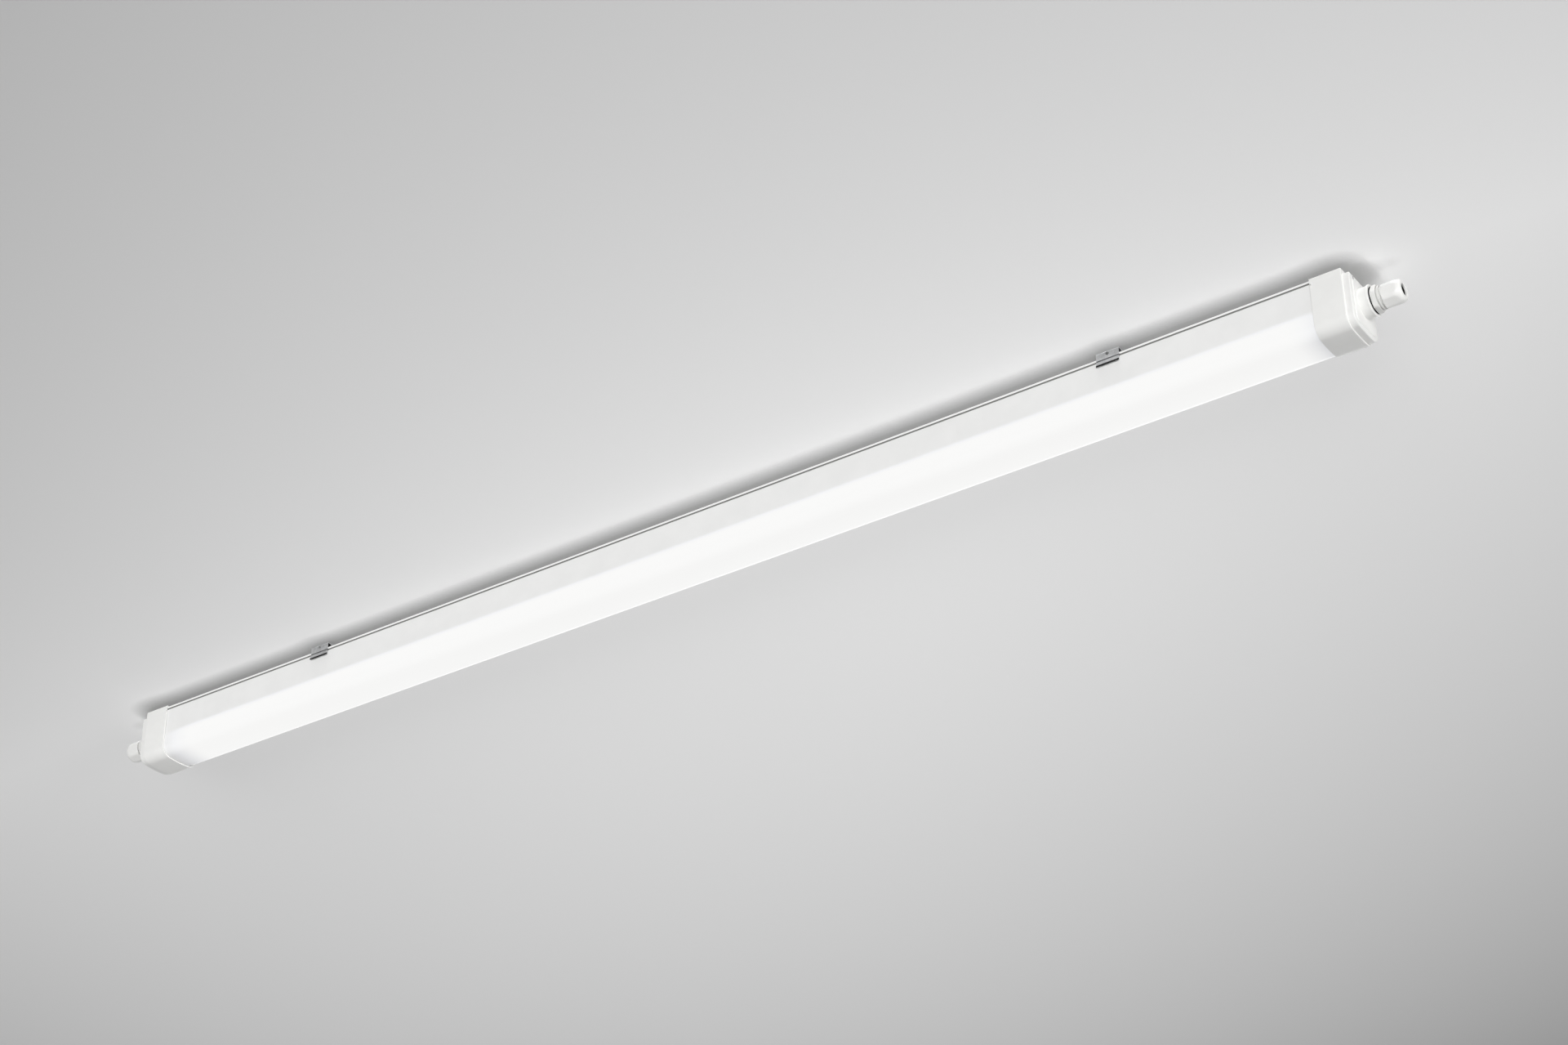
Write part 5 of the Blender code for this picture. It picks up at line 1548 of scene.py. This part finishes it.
@dataclass(frozen=True)
class Room:
    """A painted ceiling, seen only from below, with daylight under it.

    Rolled emulsion leaves a fine, shallow stipple. The room's light is strongest round a place
    near the fixture's middle and falls off with the distance from it, and a faint halo runs along
    the fixture. The paint's tone gives both: tone - fall d^power + halo exp(-|y| / reach), where d
    is the distance from the middle in turned, stretched axes. Close to the fixture the tone falls
    with how much of the room the fixture hides from the paint.
    The daylight is strongest near the horizon and weakest from straight below. Each sun has the
    direction it shines from, its strength and its spread in degrees.
    """

    height: float = 0.5 * MM
    reach: float = 9.0
    tone: float = 0.712
    fall: float = 0.298
    fall_power: float = 1.415
    least: float = 0.30
    middle: Pair = (0.114, 0.251)
    radii: Pair = (2.208, 1.257)
    turn: float = -0.587
    halo: float = 0.140
    halo_reach: float = 0.45
    lift: float = 0.372
    thirst: float = 0.20
    shade_reach: float = 23.0 * MM
    shade_power: float = 3.0
    shade_least: float = 0.34
    strip: float = 28.0 * MM
    roughness: float = 0.9
    specular: float = 0.2
    stipple: float = 1.4 * MM
    stipple_depth: float = 0.04 * MM
    backdrop: float = 0.62
    horizon: float = 1.00
    horizon_blur: float = 0.05
    nadir: float = 0.14
    suns: tuple[tuple[str, Triple, float, float], ...] = (
        ("window_light", (0.35, -0.90, -0.15), 1.66, 35),
        ("end_light", (1.0, -0.15, -0.10), 1.05, 30),
        ("back_light", (-0.35, 0.93, 0.25), 1.50, 50),
        ("top_light", (0.0, 0.0, 1.0), 2.0, 24),
    )

    def paint(self) -> Material:
        """Makes the ceiling's paint.

        It is clear from above and to shadow rays, and over the fixture to all rays but the
        camera's, so that tops stay lit. The camera and glossy surfaces see it a little brighter
        than it is lit, and it gives back less to what it faces, so that the narrow gap beside the
        fixture keeps its shadow.
        """
        made = bpy.data.materials.new("rolled_ceiling_emulsion")
        made.use_nodes = True
        tree = made.node_tree
        shader = tree.nodes["Principled BSDF"]
        shader.inputs["Roughness"].default_value = self.roughness
        shader.inputs["Specular IOR Level"].default_value = self.specular
        place = spot = add_node(tree, "TexCoord").outputs["Object"]
        for values in (
            {"Location": (-self.middle[0], -self.middle[1], 0.0)},
            {"Rotation": (0.0, 0.0, -self.turn)},
            {"Scale": (1 / self.radii[0], 1 / self.radii[1], 0.0)},
        ):
            spot = add_node(tree, "Mapping", values, {"Vector": spot})
        near = add_node(tree, "AmbientOcclusion", {"Distance": self.shade_reach}, samples=8)
        rays = add_node(tree, "LightPath").outputs
        known = {
            "far": add_node(tree, "VectorMath", links={0: spot}, operation="LENGTH").outputs[1],
            "across": add_node(tree, "SeparateXYZ", links={"Vector": place}).outputs["Y"],
            "open": near.outputs["AO"],
            "back": add_node(tree, "NewGeometry").outputs["Backfacing"],
            "camera": rays["Is Camera Ray"],
            "shadow": rays["Is Shadow Ray"],
        }
        for name, operation, values, inputs in (
            ("fallen", "POWER", {1: self.fall_power}, ("far",)),
            ("fallen", "MULTIPLY_ADD", {1: -self.fall, 2: self.tone}, ("fallen",)),
            ("fallen", "MAXIMUM", {1: self.least}, ("fallen",)),
            ("wide", "ABSOLUTE", {}, ("across",)),
            ("halo", "MULTIPLY", {1: -1 / self.halo_reach}, ("wide",)),
            ("halo", "EXPONENT", {}, ("halo",)),
            ("halo", "MULTIPLY", {1: self.halo}, ("halo",)),
            ("tone", "ADD", {}, ("fallen", "halo")),
            ("shade", "POWER", {1: self.shade_power}, ("open",)),
            ("over", "LESS_THAN", {1: self.strip}, ("wide",)),
            ("over", "SUBTRACT", {}, ("over", "camera")),
            ("unseen", "MAXIMUM", {}, ("back", "shadow")),
            ("unseen", "MAXIMUM", {}, ("unseen", "over")),
        ):
            links = {key: known[word] for key, word in enumerate(inputs)}
            known[name] = add_node(tree, "Math", values, links, operation=operation)
        shade = add_node(tree, "MapRange", {"To Min": self.shade_least}, {"Value": known["shade"]})
        tone = add_node(tree, "Math", links={0: known["tone"], 1: shade}, operation="MULTIPLY")
        values = {"To Min": 1.0, "To Max": self.thirst}
        dull = add_node(tree, "MapRange", values, {"Value": rays["Is Diffuse Ray"]})
        colour = add_node(tree, "VectorMath", links={0: tone, 3: dull}, operation="SCALE")
        values = {"Scale": 1 / self.stipple, "Detail": 3.0}
        noise = add_node(tree, "TexNoise", values, {"Vector": place})
        bump = add_node(tree, "Bump", {"Distance": self.stipple_depth}, {"Height": noise})
        lift = add_node(tree, "MapRange", {"To Max": self.lift}, {"Value": self.seen(tree, rays)})
        looks = {"Base Color": colour, "Normal": bump, "Emission Color": tone}
        feed(tree, shader, {**looks, "Emission Strength": lift})
        links = {0: known["unseen"], 1: shader, 2: add_node(tree, "BsdfTransparent")}
        mixed = add_node(tree, "MixShader", links=links)
        feed(tree, tree.nodes["Material Output"], {"Surface": mixed})
        return made

    @staticmethod
    def seen(tree: Tree, rays: Any) -> bpy.types.Node:
        """One for camera, glossy and transmission rays, zero for the rest."""
        found = rays["Is Camera Ray"]
        for ray in ("Is Glossy Ray", "Is Transmission Ray"):
            found = add_node(tree, "Math", links={0: found, 1: rays[ray]}, operation="MAXIMUM")
        return found

    def hang_ceiling(self) -> None:
        """Makes the ceiling: one face that looks down."""
        r, z = self.reach, self.height
        mesh = bpy.data.meshes.new("ceiling")
        mesh.from_pydata([(-r, -r, z), (-r, r, z), (r, r, z), (r, -r, z)], [], [(0, 1, 2, 3)])
        mesh.materials.append(self.paint())
        ceiling = bpy.data.objects.new("ceiling", mesh)
        bpy.context.scene.collection.objects.link(ceiling)

    def light_world(self) -> None:
        """Lights the world's lower half, and shows all of it pale to the camera and in gloss."""
        world = bpy.data.worlds.new("room")
        bpy.context.scene.world = world
        world.use_nodes = True
        tree = world.node_tree
        way = add_node(tree, "TexCoord").outputs["Generated"]
        up = add_node(tree, "SeparateXYZ", links={"Vector": way}).outputs["Z"]
        values = {"From Min": self.horizon_blur, "From Max": -self.horizon_blur}
        under = add_node(tree, "MapRange", values, {"Value": up})
        values = {"From Min": -1.0, "From Max": 0.0, "To Min": self.nadir, "To Max": self.horizon}
        level = add_node(tree, "MapRange", values, {"Value": up})
        below = add_node(tree, "Math", links={0: under, 1: level}, operation="MULTIPLY")
        seen = self.seen(tree, add_node(tree, "LightPath").outputs)
        strength = add_node(tree, "Mix", {3: self.backdrop}, {0: seen, 2: below})
        background = tree.nodes["Background"]
        feed(tree, background, {"Strength": strength})
        background.inputs["Color"].default_value = (1.0, 1.0, 1.0, 1.0)

    def build(self) -> None:
        """Makes the ceiling and the lights."""
        self.hang_ceiling()
        self.light_world()
        for name, source, power, spread in self.suns:
            lamp = bpy.data.lights.new(name, "SUN")
            lamp.energy = power
            lamp.angle = math.radians(spread)
            sun = bpy.data.objects.new(name, lamp)
            sun.rotation_euler = Vector(source).to_track_quat("Z", "Y").to_euler()
            bpy.context.scene.collection.objects.link(sun)
        bpy.context.scene.view_settings.view_transform = "Standard"


@dataclass(frozen=True)
class PhotoCamera:
    """The photograph's camera, below the fixture and near its right end, looking up."""

    centre: Triple = (1.542, -2.080, -1.5505)
    forward: Triple = (-0.4872, 0.7066, 0.5131)
    roll: float = math.radians(0.507)
    lens: float = 67.93

    def build(self) -> None:
        """Makes the scene's camera."""
        data = bpy.data.cameras.new("photo_camera")
        data.lens = self.lens
        data.sensor_fit = "HORIZONTAL"
        camera = bpy.data.objects.new("photo_camera", data)
        ahead = Vector(self.forward).normalized()
        level = ahead.cross(Vector((0, 0, 1))).normalized()
        down = ahead.cross(level)
        right = level * math.cos(self.roll) + down * math.sin(self.roll)
        up = level * math.sin(self.roll) - down * math.cos(self.roll)
        turn = Matrix((right, up, -ahead)).transposed().to_4x4()
        camera.matrix_world = Matrix.Translation(self.centre) @ turn
        bpy.context.scene.collection.objects.link(camera)
        bpy.context.scene.camera = camera


NODE_FINISHES = (
    ("screw", Stuff.ZINC),
    ("gear_tray", Stuff.POWDER),
    ("led_board", Stuff.MASK),
    ("board_link", Stuff.PBT),
    ("driver_circuit_board", Stuff.GREEN),
    ("connector", Stuff.PBT),
    ("driver", Stuff.ZINC),
    ("terminal_button", Stuff.BUTTON),
    ("terminal_block", Stuff.PBT),
    ("earth_ring", Stuff.ZINC),
    ("neutral_wire", Stuff.BLUE),
    ("live_wire", Stuff.BROWN),
    ("earth_wire", Stuff.EARTH),
    ("board_plus_wire", Stuff.RED),
    ("board_minus_wire", Stuff.BLACK),
)


def dress_nodes(nodes: dict[str, Piece]) -> None:
    """Gives each CAD node left showing its finish, by what its name says it is."""
    for name, node in nodes.items():
        found = [stuff for word, stuff in NODE_FINISHES if word in name]
        for slot in node.material_slots if found else ():
            slot.material = material(found[0])


def main() -> None:
    """Loads the frame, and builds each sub-assembly in order."""
    logging.basicConfig(level=logging.INFO, format="%(message)s")
    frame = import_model()
    section = Section()
    assemblies = [PhotoCamera(), Room(), OpalTube(section)]
    for end in (End("right", 0.700, 1, "gear_insert"), End("left", -0.724, -1, "left_cap")):
        assemblies += [EndCap(section, end), EndGasket(section, end)]
        assemblies.append(CableGland(end, f"{end.side}_seal", f"{end.side}_nut"))
    for side, x in (("left", -0.493), ("right", 0.493)):
        assemblies.append(CeilingClip(section, f"mounting_clip_{side}", x))
    assemblies += [GearTray(), LedBoards(), Screws(), DriverCase(), TerminalBlock(), Wiring()]
    for assembly in assemblies:
        assembly.build()
        LOG.info("built %s", type(assembly).__name__)
    dress_nodes(frame["nodes"])


if __name__ == "__main__":
    main()
